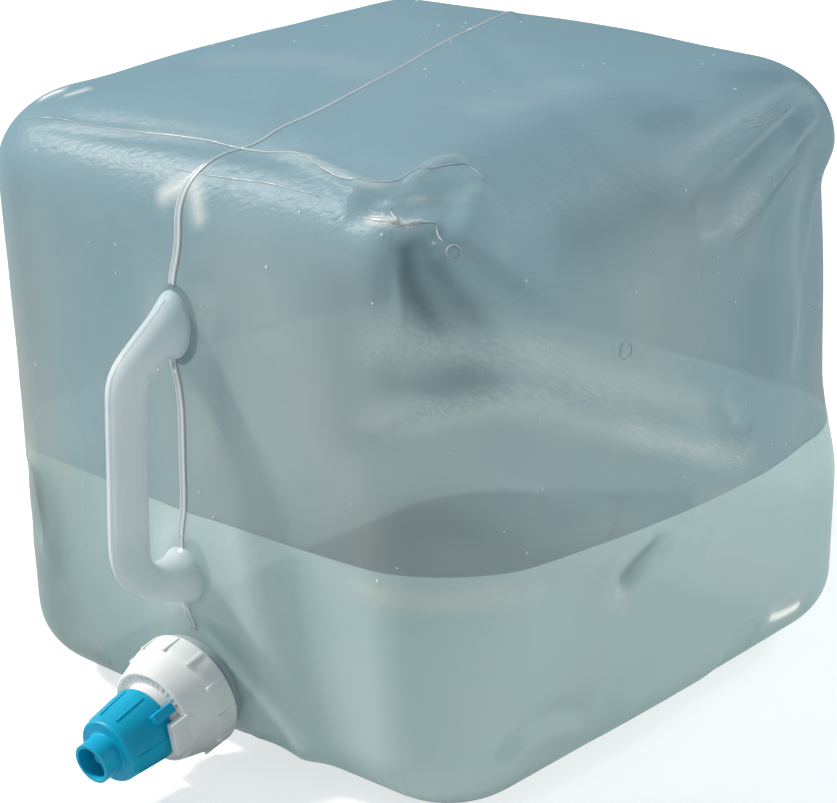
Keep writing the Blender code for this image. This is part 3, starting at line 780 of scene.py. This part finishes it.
def film_shell(cells):
    """The plain bag as one closed bmesh, its sides merged along their edges."""
    work = bmesh.new()
    for normal, across, up in SIDES:
        side = bmesh.ops.create_grid(work, x_segments=cells, y_segments=cells, size=1.0)["verts"]
        flat = np.array([vert.co for vert in side])
        cube = np.array(normal) + flat[:, :1] * np.array(across) + flat[:, 1:2] * np.array(up)
        for vert, place in zip(side, film_points(cube)):
            vert.co = place
    bmesh.ops.remove_doubles(work, verts=work.verts, dist=0.00005)
    bmesh.ops.recalc_face_normals(work, faces=work.faces)
    return work


def stroke(points, line, width, power=2):
    """How near each point is to the line: 1 on it, less within some widths and towards its ends."""
    width /= 1000
    path = smooth_path(np.array(line, float) / 1000, 6)
    reach = (3 if power == 2 else 6) * width
    near = np.all((points > path.min(axis=0) - reach) & (points < path.max(axis=0) + reach), axis=1)
    gap, share = path_distance(points[near], path)
    ends = smoothstep(share / 0.22) * smoothstep((1 - share) / 0.22)
    marks = np.zeros(len(points))
    marks[near] = ends * np.exp(-((gap / width) ** power))
    return marks


def root_fillet(points, centre, across, upright, height, reach):
    """Draws the front out to meet a root of the handle: full height within its oval, less beyond."""
    aside = points[:, 0] - centre[0]
    above = points[:, 2] - centre[1]
    oval = np.hypot(aside / across, above / upright)
    beyond = np.maximum(0.0, oval - 1) * np.hypot(aside, above) / np.maximum(oval, 1e-6)
    at_front = points[:, 1] < -0.10
    return height * at_front * np.exp(-((beyond / reach) ** 1.3))


def soft_waves(points):
    """The slack of a soft bag: slow waves over every side, none at the base."""
    broad = np.array([noise.noise(Vector(place) * 9.0) for place in points])
    fine = np.array([noise.noise(Vector(place) * 24.0 + Vector((7.0, 3.0, 1.0))) for place in points])
    off_base = smoothstep((points[:, 2] - 0.006) / 0.03)
    return (BROAD_WAVES * broad + FINE_WAVES * fine) * off_base


def relief(points):
    """How far each point of the film stands out from the plain bag."""
    lift = soft_waves(points)
    for line, width, height, power in FOLDS:
        lift += FOLD_STRENGTH * height / 1000 * stroke(points, line, width, power)
    for fillet in ROOT_FILLETS:
        lift += root_fillet(points, *fillet)
    from_neck = np.linalg.norm(points - np.array(SPIGOT_CENTRE), axis=1)
    return lift * smoothstep((from_neck - NECK_BEAD_RADIUS) / NECK_FADE)


def strokes(points, lines):
    """All the lines' marks: the strongest of the pale ones, with every dark one added to it."""
    pale, dark = np.zeros((2, len(points)))
    for line, width, strength in lines:
        mark = strength * stroke(points, line, width)
        pale = np.maximum(pale, mark)
        dark += np.minimum(mark, 0.0)
    return pale + dark


def to_mesh(work, name):
    mesh = bpy.data.meshes.new(name)
    work.to_mesh(mesh)
    work.free()
    mesh.shade_smooth()
    return mesh


def loft(rings, name, caps=False, closed=False):
    """A skin over the rings, each a list of points, with caps on its ends or closed into a loop."""
    work = bmesh.new()
    rows = [[work.verts.new(place) for place in ring] for ring in rings]
    for here, there in zip(rows, rows[1:] + rows[: int(closed)]):
        for number in range(len(here)):
            after = (number + 1) % len(here)
            work.faces.new((here[number], here[after], there[after], there[number]))
    if caps:
        work.faces.new(rows[0])
        work.faces.new(rows[-1])
    bmesh.ops.recalc_face_normals(work, faces=work.faces)
    return to_mesh(work, name)


def joined(name, meshes):
    work = bmesh.new()
    for mesh in meshes:
        work.from_mesh(mesh)
    return to_mesh(work, name)


def open_neck(work):
    """Cuts the hole that the neck stands in, and draws its rim into a true circle."""
    into = SPIGOT.inverted()
    inside = []
    for face in work.faces:
        place = into @ face.calc_center_median()
        if abs(place.z) < NECK_SEAT_REACH and math.hypot(place.x, place.y) < NECK_RADIUS:
            inside.append(face)
    bmesh.ops.delete(work, geom=inside, context="FACES")
    for vert in work.verts:
        if vert.is_boundary:
            place = into @ vert.co
            around = Vector((place.x, place.y, 0.0)).normalized() * (NECK_RADIUS + 0.0001)
            around.z = place.z
            vert.co = SPIGOT @ around


def make_film(material):
    """The bag's film. Gives back a copy of its shape for the water, and its surface to lay things on."""
    work = film_shell(FILM_CELLS)
    work.normal_update()
    points = np.array([vert.co for vert in work.verts])
    normals = np.array([vert.normal for vert in work.verts])
    raised = points + normals * relief(points)[:, None]
    raised[:, 2] = np.maximum(raised[:, 2], 0.0)
    for vert, place in zip(work.verts, raised):
        vert.co = place
    # scuffs with painted glitter, painted highlights, and painted shade and light, as measures at the film's
    # points
    for name, lines in (("scuff_and_glitter", SCUFFS_AND_GLITTER), ("painted_highlight", PAINTED_HIGHLIGHTS), ("shade", PAINTED_SHADE_AND_LIGHT)):
        layer = work.verts.layers.float.new(name)
        for vert, mark in zip(work.verts, strokes(points, lines)):
            vert[layer] = mark
    over_water = work.verts.layers.float.new("over_water")
    for vert in work.verts:
        vert[over_water] = vert.co.z - WATER_LEVEL - WATER_SLOPE * vert.co.y
    water, skin = work.copy(), BVHTree.FromBMesh(work)
    open_neck(work)
    walls = ("front_wall", "right_wall", "left_wall", "back_wall", "top_wall", "bottom_wall")
    add_film_piece("bag_film", to_mesh(work, "bag_film"), material, walls)
    return water, skin


def make_water(work, material):
    """The water in the bag: the film's inside up to the water's surface."""
    work.normal_update()
    for vert in work.verts:
        vert.co -= vert.normal * WATER_GAP
    geometry = work.verts[:] + work.edges[:] + work.faces[:]
    level = Vector((0.0, 0.0, WATER_LEVEL))
    cut = bmesh.ops.bisect_plane(
        work, geom=geometry, plane_co=level, plane_no=(0, -WATER_SLOPE, 1), clear_outer=True
    )["geom_cut"]
    rim = [part for part in cut if isinstance(part, bmesh.types.BMEdge)]
    bmesh.ops.holes_fill(work, edges=rim)
    bmesh.ops.recalc_face_normals(work, faces=work.faces)
    mesh = to_mesh(work, "water")
    mesh.set_sharp_from_angle(angle=math.radians(50))
    add_film_piece("water", mesh, material)


# Small things on the film

# Half of the seam's section, in mm: across from its middle, and height over the film
SEAM_SECTION = ((0.0, 0.08), (0.35, 0.16), (0.75, 0.42), (1.10, 0.26), (1.45, -0.35))
MARK_SECTION = ((0.0, 0.30), (0.25, 0.20), (0.45, -0.30))
RIDGE_SECTION = ((0.0, 0.45), (0.40, 0.30), (1.0, -0.30))
MARKS = (((136.6, -125.1, 254.6), 2.9), ((157.0, -46.0, 196.0), 3.5))  # middle and radius, in mm
MARK_SIDES = 28
SEAM_FRONT_WIDTH, SEAM_TOP_WIDTH = 1.70, 0.55  # as shares of the section's width
SEAM_NARROWS = 0.262  # from this height
DROPS = 80


def ribbon(skin, path, section, widths, closed=False):
    """A raised strip that lies on the film along the path, as wide as widths says at each of its points."""
    found = [skin.find_nearest(Vector(place))[:2] for place in path]
    full = [(-across, height) for across, height in section[:0:-1]] + list(section)
    rings = []
    for number, ((place, normal), width) in enumerate(zip(found, widths)):
        if closed:
            before, after = found[number - 1][0], found[(number + 1) % len(found)][0]
        else:
            before, after = found[max(number - 1, 0)][0], found[min(number + 1, len(found) - 1)][0]
        side = normal.cross(after - before).normalized()
        rings.append([place + (side * across * width + normal * height) / 1000 for across, height in full])
    return loft(rings, "ribbon", caps=not closed, closed=closed)


def seam_strip(skin, line, front_width=SEAM_FRONT_WIDTH):
    """The seam along a line, narrowing where it turns over onto the top."""
    path = smooth_path(np.array(line, float) / 1000, 12)
    on_top = smoothstep((path[:, 2] - SEAM_NARROWS) / 0.012)
    return ribbon(skin, path, SEAM_SECTION, front_width + (SEAM_TOP_WIDTH - front_width) * on_top)


def make_seam(skin, material, behind):
    add_film_piece("seam_behind", seam_strip(skin, SEAM_BEHIND, SEAM_TOP_WIDTH), behind)
    strips = [seam_strip(skin, line) for line in (SEAM, SEAM_IN_HOLE, SEAM_BELOW)]
    for centre, radius in MARKS:
        centre, normal = skin.find_nearest(Vector(centre) / 1000)[:2]
        across = normal.orthogonal().normalized()
        upright = normal.cross(across)
        circle = [
            centre + (across * math.cos(turn) + upright * math.sin(turn)) * radius / 1000
            for turn in full_turn(MARK_SIDES)
        ]
        strips.append(ribbon(skin, circle, MARK_SECTION, [1.0] * len(circle), closed=True))
    add_film_piece("mould_seam", joined("mould_seam", strips), material)


def make_ridges(skin, material):
    strips = []
    for line, width in RIDGES:
        path = smooth_path(np.array(line, float) / 1000, 10)
        share = np.linspace(0.0, 1.0, len(path))
        taper = 0.15 + 0.85 * smoothstep(share / 0.3) * smoothstep((1 - share) / 0.3)
        strips.append(ribbon(skin, path, RIDGE_SECTION, width * taper))
    add_film_piece("fold_ridges", joined("fold_ridges", strips), material)


def make_drops(skin, material):
    """Drops that have condensed on the front, the right side and the top."""
    chance = np.random.default_rng(11)
    work = bmesh.new()
    for _ in range(DROPS):
        normal, across, up = (np.array(axis) for axis in (FRONT, RIGHT, TOP)[chance.integers(3)])
        cube = normal + across * chance.uniform(-0.95, 0.95) + up * chance.uniform(-0.2, 0.95)
        place, outward = skin.find_nearest(Vector(film_points(cube[None])[0]))[:2]
        radius = chance.uniform(0.0004, 0.0009) * (1.5 if chance.random() < 0.12 else 1.0)
        turn = outward.to_track_quat("Z", "Y").to_matrix().to_4x4()
        shape = Matrix.Translation(place) @ turn @ Matrix.Diagonal((radius, radius, 0.6 * radius, 1.0))
        bmesh.ops.create_icosphere(work, subdivisions=2, radius=1.0, matrix=shape)
    add_film_piece("condensation", to_mesh(work, "condensation"), material)


# Handle

# Stations from the upper root to the lower one, in mm: the outer edge and the finger hole's edge in the
# middle plane, each as (y, z), and the half width across
HANDLE_STATIONS = (
    ((-148.5, 221.0), (-149.0, 186.0), 12.4),
    ((-153.5, 217.0), (-153.0, 189.6), 10.2),
    ((-161.0, 210.8), (-158.0, 191.6), 8.7),
    ((-173.0, 202.6), (-163.6, 190.2), 8.0),
    ((-182.6, 195.2), (-168.0, 186.2), 7.8),
    ((-187.8, 186.6), (-170.2, 180.0), 7.8),
    ((-189.6, 172.0), (-171.4, 170.0), 7.8),
    ((-191.8, 144.0), (-173.4, 143.0), 7.8),
    ((-194.0, 117.0), (-175.2, 116.0), 7.8),
    ((-192.6, 104.5), (-175.0, 107.2), 7.9),
    ((-187.4, 95.4), (-171.8, 102.6), 8.2),
    ((-179.5, 88.8), (-166.5, 101.6), 8.8),
    ((-168.1, 84.0), (-160.5, 102.0), 9.8),
    ((-159.0, 80.4), (-156.5, 104.6), 11.4),
    ((-152.5, 77.4), (-152.5, 108.4), 13.2),
)
HANDLE_STEPS = 6
HANDLE_SIDES = 48
HANDLE_WALL = 0.0012
HANDLE_SEAM_RADIUS = 0.00055


def handle_path():
    """The handle's stations drawn into a smooth run, in metres: outer y and z, inner y and z, half width."""
    rows = [(*outer, *inner, half) for outer, inner, half in HANDLE_STATIONS]
    return smooth_path(np.array(rows) / 1000, HANDLE_STEPS)


def handle_rings(inset=0.0):
    """The handle's sections as rings of points; inset draws them inwards."""
    rings = []
    for outer_y, outer_z, inner_y, inner_z, half in handle_path():
        outer = Vector((0.0, outer_y, outer_z))
        inner = Vector((0.0, inner_y, inner_z))
        reach = (outer - inner) / 2
        upright = reach.normalized() * (reach.length - inset)
        across = Vector((half - inset, 0.0, 0.0))
        middle = (outer + inner) / 2
        rings.append(
            [middle + upright * math.cos(turn) + across * math.sin(turn) for turn in full_turn(HANDLE_SIDES)]
        )
    return rings


def handle_seam():
    """The parting line along the handle's outer edge."""
    outer = [Vector((0.0, y, z)) for y, z, *_ in handle_path()[HANDLE_STEPS:-HANDLE_STEPS]]
    rings = []
    for before, place, after in zip(outer, outer[1:], outer[2:]):
        aside = Vector((1.0, 0.0, 0.0))
        away = aside.cross(after - before).normalized()
        rings.append(
            [
                place + HANDLE_SEAM_RADIUS * (away * math.cos(turn) + aside * math.sin(turn))
                for turn in full_turn(8)
            ]
        )
    return loft(rings, "handle_seam", caps=True)


def make_handle(material, water):
    """The hollow handle, its seam, and the water that stands in its lower part."""
    mesh = loft(handle_rings(), "handle_grip")
    handle = add_piece("handle_grip", mesh, material, "root", ["carry_handle"])
    shell = handle.modifiers.new("Wall", "SOLIDIFY")
    shell.thickness = HANDLE_WALL
    shell.offset = -1.0
    add_piece("handle_seam", handle_seam(), material, "root")
    lower_root_y = HANDLE_STATIONS[-1][0][0] / 1000
    level = WATER_LEVEL + WATER_SLOPE * lower_root_y
    low = [ring for ring in handle_rings(2 * HANDLE_WALL) if max(place.z for place in ring) < level]
    add_piece("handle_water", loft(low, "handle_water", caps=True), water, "root")


# Turned pieces of the spigot


def rounded(outline, radius, steps=3):
    """The closed outline with each corner turned into a small arc."""
    count = len(outline)
    made = []
    for number in range(count):
        before, here, after = (Vector(outline[(number + shift) % count]) for shift in (-1, 0, 1))
        back, ahead = before - here, after - here
        cut = min(radius, 0.42 * back.length, 0.42 * ahead.length)
        start, end = here + back.normalized() * cut, here + ahead.normalized() * cut
        for step in range(steps + 1):
            share = step / steps
            made.append(start.lerp(here, share).lerp(here.lerp(end, share), share))
    return made


def turned(outline, radius=0.0004, steps=TURNED_STEPS):
    """A ring or tube: the closed outline of (radius, height) points, spun round Z."""
    work = bmesh.new()
    profile = rounded(outline, radius)
    rows = []
    for number in range(steps):
        turn = number / steps * math.tau
        rows.append([work.verts.new((p.x * math.cos(turn), p.x * math.sin(turn), p.y)) for p in profile])
    for here, there in zip(rows, rows[1:] + rows[:1]):
        for number in range(len(profile)):
            after = (number + 1) % len(profile)
            work.faces.new((here[number], there[number], there[after], here[after]))
    bmesh.ops.recalc_face_normals(work, faces=work.faces)
    return to_mesh(work, "turned")


def blocks(boxes, slope=0.0, bevel=0.0003):
    """Round-edged boxes round the spigot's axis: (angle, inner, outer, half width, rear, front)."""
    work = bmesh.new()
    for angle, inner, outer, half_width, rear, front in boxes:
        block = bmesh.ops.create_cube(work, size=1.0)["verts"]
        for vert in block:
            height = (rear + front) / 2 + vert.co.z * (front - rear)
            along = (inner + outer) / 2 + vert.co.x * (outer - inner) - slope * (height - rear)
            aside = vert.co.y * 2 * half_width
            vert.co = (
                along * math.cos(angle) - aside * math.sin(angle),
                along * math.sin(angle) + aside * math.cos(angle),
                height,
            )
    bmesh.ops.bevel(work, geom=work.edges[:], offset=bevel, segments=2, affect="EDGES", profile=0.5)
    bmesh.ops.recalc_face_normals(work, faces=work.faces)
    return to_mesh(work, "blocks")


def thread(radius, depth, pitch, turns, start):
    """A round-topped thread ridge that climbs along +Z and thins out at both ends."""
    count = int(turns * THREAD_STEPS)
    rings = []
    for step in range(count + 1):
        turn = step / THREAD_STEPS * math.tau
        height = start + step / THREAD_STEPS * pitch
        size = depth * (0.3 + 0.7 * min(1.0, min(step, count - step) / 8))
        ring = []
        for angle in full_turn(8):
            reach = radius + size * math.cos(angle)
            rise = size * math.sin(angle)
            ring.append(Vector((reach * math.cos(turn), reach * math.sin(turn), height + rise)))
        rings.append(ring)
    return loft(rings, "thread", caps=True)


def spigot_piece(name, body_mesh, extras, material, body, replaces):
    """One moulded piece: its turned body with the extras joined on by Boolean unions."""
    mesh = body_mesh
    for extra in extras:
        base = placed("base", mesh)
        tool = placed("tool", extra)
        union = base.modifiers.new("Union", "BOOLEAN")
        union.operation = "UNION"
        union.object = tool
        union.solver = "EXACT"
        bpy.context.view_layer.update()
        merged = base.evaluated_get(bpy.context.evaluated_depsgraph_get())
        mesh = bpy.data.meshes.new_from_object(merged)
        bpy.data.objects.remove(base)
        bpy.data.objects.remove(tool)
    mesh.name = name
    mesh.transform(SPIGOT)
    mesh.shade_smooth()
    mesh.set_sharp_from_angle(angle=math.radians(48))
    piece = add_piece(name, mesh, material, body, replaces)
    even = piece.modifiers.new("Even", "WEIGHTED_NORMAL")
    even.keep_sharp = True


def make_neck(material):
    outline = (
        (NECK_RADIUS, NECK_LIP),
        (NECK_RADIUS, -0.0014),
        (NECK_BEAD_RADIUS, -0.0024),
        (NECK_BEAD_RADIUS, -0.0052),
        (NECK_RADIUS, -0.0060),
        (NECK_RADIUS, NECK_REAR),
        (NECK_BORE, NECK_REAR),
        (NECK_BORE, NECK_LIP),
    )
    ridge = thread(NECK_RADIUS + 0.0002, CAP_THREAD, CAP_PITCH, 1.8, 0.0062)
    spigot_piece("bag_neck", turned(outline), [ridge], material, "root", ["threaded_neck"])


def make_cap(material):
    outline = (
        (CAP_COLLAR_RADIUS, CAP_COLLAR_TOP),
        (CAP_COLLAR_RADIUS, CAP_RECESS),
        (CAP_FACE_RADIUS - 0.0014, CAP_RECESS),
        (CAP_FACE_RADIUS - 0.0012, CAP_FACE),
        (CAP_FACE_RADIUS, CAP_FACE - 0.0004),
        (CAP_REAR_RADIUS - 0.0012, CAP_SKIRT + 0.0020),
        (CAP_REAR_RADIUS - 0.0004, CAP_SKIRT),
        (CAP_REAR_RADIUS, 0.0008),
        (CAP_REAR_RADIUS - 0.0002, 0.0),
        (CAP_BORE, 0.0),
        (CAP_BORE, CAP_SKIRT + 0.0040),
        (CAP_BORE - 0.0018, CAP_END_WALL),
        (STEM_RADIUS + CLEARANCE, CAP_END_WALL),
        (STEM_RADIUS + CLEARANCE, CAP_COLLAR_TOP),
    )
    grip = (CAP_REAR_RADIUS - 0.0016, CAP_REAR_RADIUS + 0.0004, 0.0009, 0.0012, 0.0112)
    grips = [(turn * math.tau / CAP_RIBS, *grip) for turn in range(CAP_RIBS)]
    lug = (0.0, TAP_REAR_RADIUS + 0.0010, TAP_REAR_RADIUS + 0.0044, 0.0078, CAP_RECESS - 0.0010, 0.0335)
    middle = (CAP_COLLAR_RADIUS + CAP_FACE_RADIUS - 0.0014) / 2
    tick = (middle - 0.0011, middle + 0.0011, 0.00035, CAP_RECESS - 0.0004, CAP_RECESS + 0.0003)
    # none beside the lug
    ticks = [(turn * math.tau / CAP_TICKS, *tick) for turn in range(4, CAP_TICKS - 3)]
    ridge = thread(CAP_BORE - 0.0002, CAP_THREAD, CAP_PITCH, 1.4, 0.0062 - CAP_PITCH / 2)
    extras = [blocks(grips), blocks([lug], bevel=0.0005), blocks(ticks, bevel=0.0001), ridge]
    spigot_piece("cap_body", turned(outline, 0.0007), extras, material, "cap", ["screw_cap"])


def make_gasket(material):
    outer, inner = CAP_BORE - 0.0022, NECK_BORE + 0.0002
    rear, front = NECK_LIP + CLEARANCE, CAP_END_WALL - CLEARANCE
    outline = ((outer, front), (outer, rear), (inner, rear), (inner, front))
    spigot_piece("cap_washer", turned(outline, 0.0003), [], material, "gasket", ["cap_gasket"])


def make_stem(material):
    flange_rear, flange_front = 0.0190, CAP_END_WALL - CLEARANCE
    outline = (
        (STEM_RADIUS - 0.0002, STEM_MOUTH),
        (STEM_RADIUS, flange_front),
        (0.0168, flange_front),
        (0.0168, flange_rear),
        (STEM_BORE, flange_rear),
        (STEM_BORE, STEM_MOUTH - 0.0014),
        (STEM_BORE + 0.0014, STEM_MOUTH),
    )
    ridge = thread(STEM_RADIUS, TAP_THREAD, TAP_PITCH, 0.6, 0.0412)
    spigot_piece("stem_body", turned(outline), [ridge], material, "cap", ["spout_stem"])


def make_tap_seal(material):
    thickness = 0.0008
    section = [
        (0.01365 + thickness * math.cos(turn), TAP_GROOVE + thickness * math.sin(turn))
        for turn in full_turn(10)
    ]
    spigot_piece("tap_ring", turned(section, 0.0001), [], material, "tap_seal", ["tap_seal_ring"])


def make_tap(material):
    shoulder = TAP_FRONT - 0.0024
    outline = (
        (NOZZLE_RADIUS - 0.0001, NOZZLE_MOUTH),
        (NOZZLE_RADIUS, TAP_FRONT + 0.0005),
        (NOZZLE_RADIUS + 0.0008, TAP_FRONT),
        (TAP_FRONT_RADIUS - 0.0006, TAP_FRONT),
        (TAP_FRONT_RADIUS, TAP_FRONT - 0.0010),
        (TAP_REAR_RADIUS, TAP_REAR + 0.0010),
        (TAP_REAR_RADIUS - 0.0004, TAP_REAR),
        (TAP_BORE, TAP_REAR),
        (TAP_BORE, TAP_GROOVE - 0.0012),
        (0.0148, TAP_GROOVE - 0.0012),
        (0.0148, TAP_GROOVE + 0.0012),
        (TAP_BORE, TAP_GROOVE + 0.0012),
        (TAP_BORE, shoulder),
        (NOZZLE_BORE, shoulder),
        (NOZZLE_BORE, NOZZLE_MOUTH),
    )
    taper = (TAP_REAR_RADIUS - TAP_FRONT_RADIUS) / (TAP_FRONT - TAP_REAR)
    rib = (0.0162, 0.0176, 0.0005, 0.0320, 0.0485)
    ribs = [(POINTER_ANGLE + turn * math.tau / TAP_RIBS, *rib) for turn in range(1, TAP_RIBS)]
    pointer = (POINTER_ANGLE, 0.0164, 0.0206, 0.0023, 0.0256, 0.0370)
    ridge = thread(TAP_BORE, TAP_THREAD, TAP_PITCH, 0.55, 0.0412 - TAP_PITCH / 2)
    extras = [blocks(ribs, taper, 0.00025), blocks([pointer], bevel=0.0006), ridge]
    spigot_piece("tap_body", turned(outline), extras, material, "tap", ["tap_barrel"])


def make_plug(material):
    plug_radius, stalk_radius = STEM_BORE - 0.0004, 0.0026
    seat, stalk_front = 0.0440, 0.0585
    outline = (
        (0.0002, stalk_front),
        (stalk_radius, stalk_front),
        (stalk_radius, 0.0505),
        (plug_radius - 0.0008, 0.0492),
        (plug_radius, 0.0480),
        (plug_radius - 0.0014, seat),
        (0.0002, seat),
    )
    arm = (0.0010, NOZZLE_BORE - CLEARANCE, 0.0006, 0.0545, 0.0578)
    arms = blocks([(turn * math.tau / 3 + POINTER_ANGLE, *arm) for turn in range(3)], bevel=0.0002)
    spigot_piece("plug_body", turned(outline, 0.0003, 48), [arms], material, "tap", ["valve_plug"])


def make_floor():
    work = bmesh.new()
    bmesh.ops.create_grid(work, x_segments=2, y_segments=2, size=6.0)
    mesh = to_mesh(work, "floor")
    mesh.materials.append(floor_material())
    floor = placed("floor", mesh)
    floor.location.z = -0.0004


bpy.context.scene.view_settings.view_transform = "Standard"
make_camera()
make_lights()
make_world()
make_floor()
water_look = water_material()
white = moulded_material(
    "white_plastic", (0.83, 0.83, 0.80), (0.76, 0.77, 0.75), 0.34, 0.25, (1.0, 0.9, 0.8)
)
blue = moulded_material(
    "blue_plastic", (0.002, 0.415, 0.630), (0.001, 0.345, 0.550), 0.36, 0.12, (0.1, 0.7, 1.0)
)
rubber = moulded_material(
    "seal_rubber", (0.045, 0.045, 0.045), (0.030, 0.030, 0.032), 0.55, 0.0, (1.0, 1.0, 1.0)
)
neck_look = milky_material("neck_plastic", (0.60, 0.66, 0.67), (0.48, 0.57, 0.59), 0.70, 0.25)
seam_look = milky_material("seam_plastic", (0.78, 0.82, 0.83), (0.68, 0.74, 0.76), 0.75, 0.12)
behind_look = milky_material(
    "seam_behind", (0.34, 0.46, 0.48), (0.30, 0.42, 0.45), 0.05, 0.25, tint=WHITE
)
drop_look = milky_material("drops", (0.95, 0.97, 0.97), (0.90, 0.94, 0.95), 0.70, 0.02)
handle_look = milky_material(
    "handle_plastic", (0.96, 0.97, 0.96), (0.88, 0.92, 0.93), 0.78, 0.16, 0.6, fade=(-0.164, -0.147, 0.16)
)
inside, skin = make_film(film_material())
make_water(inside, water_look)
make_seam(skin, seam_look, behind_look)
make_ridges(skin, seam_look)
make_drops(skin, drop_look)
make_handle(handle_look, water_look)
make_neck(neck_look)
make_cap(white)
make_gasket(rubber)
make_stem(white)
make_tap_seal(rubber)
make_tap(blue)
make_plug(blue)
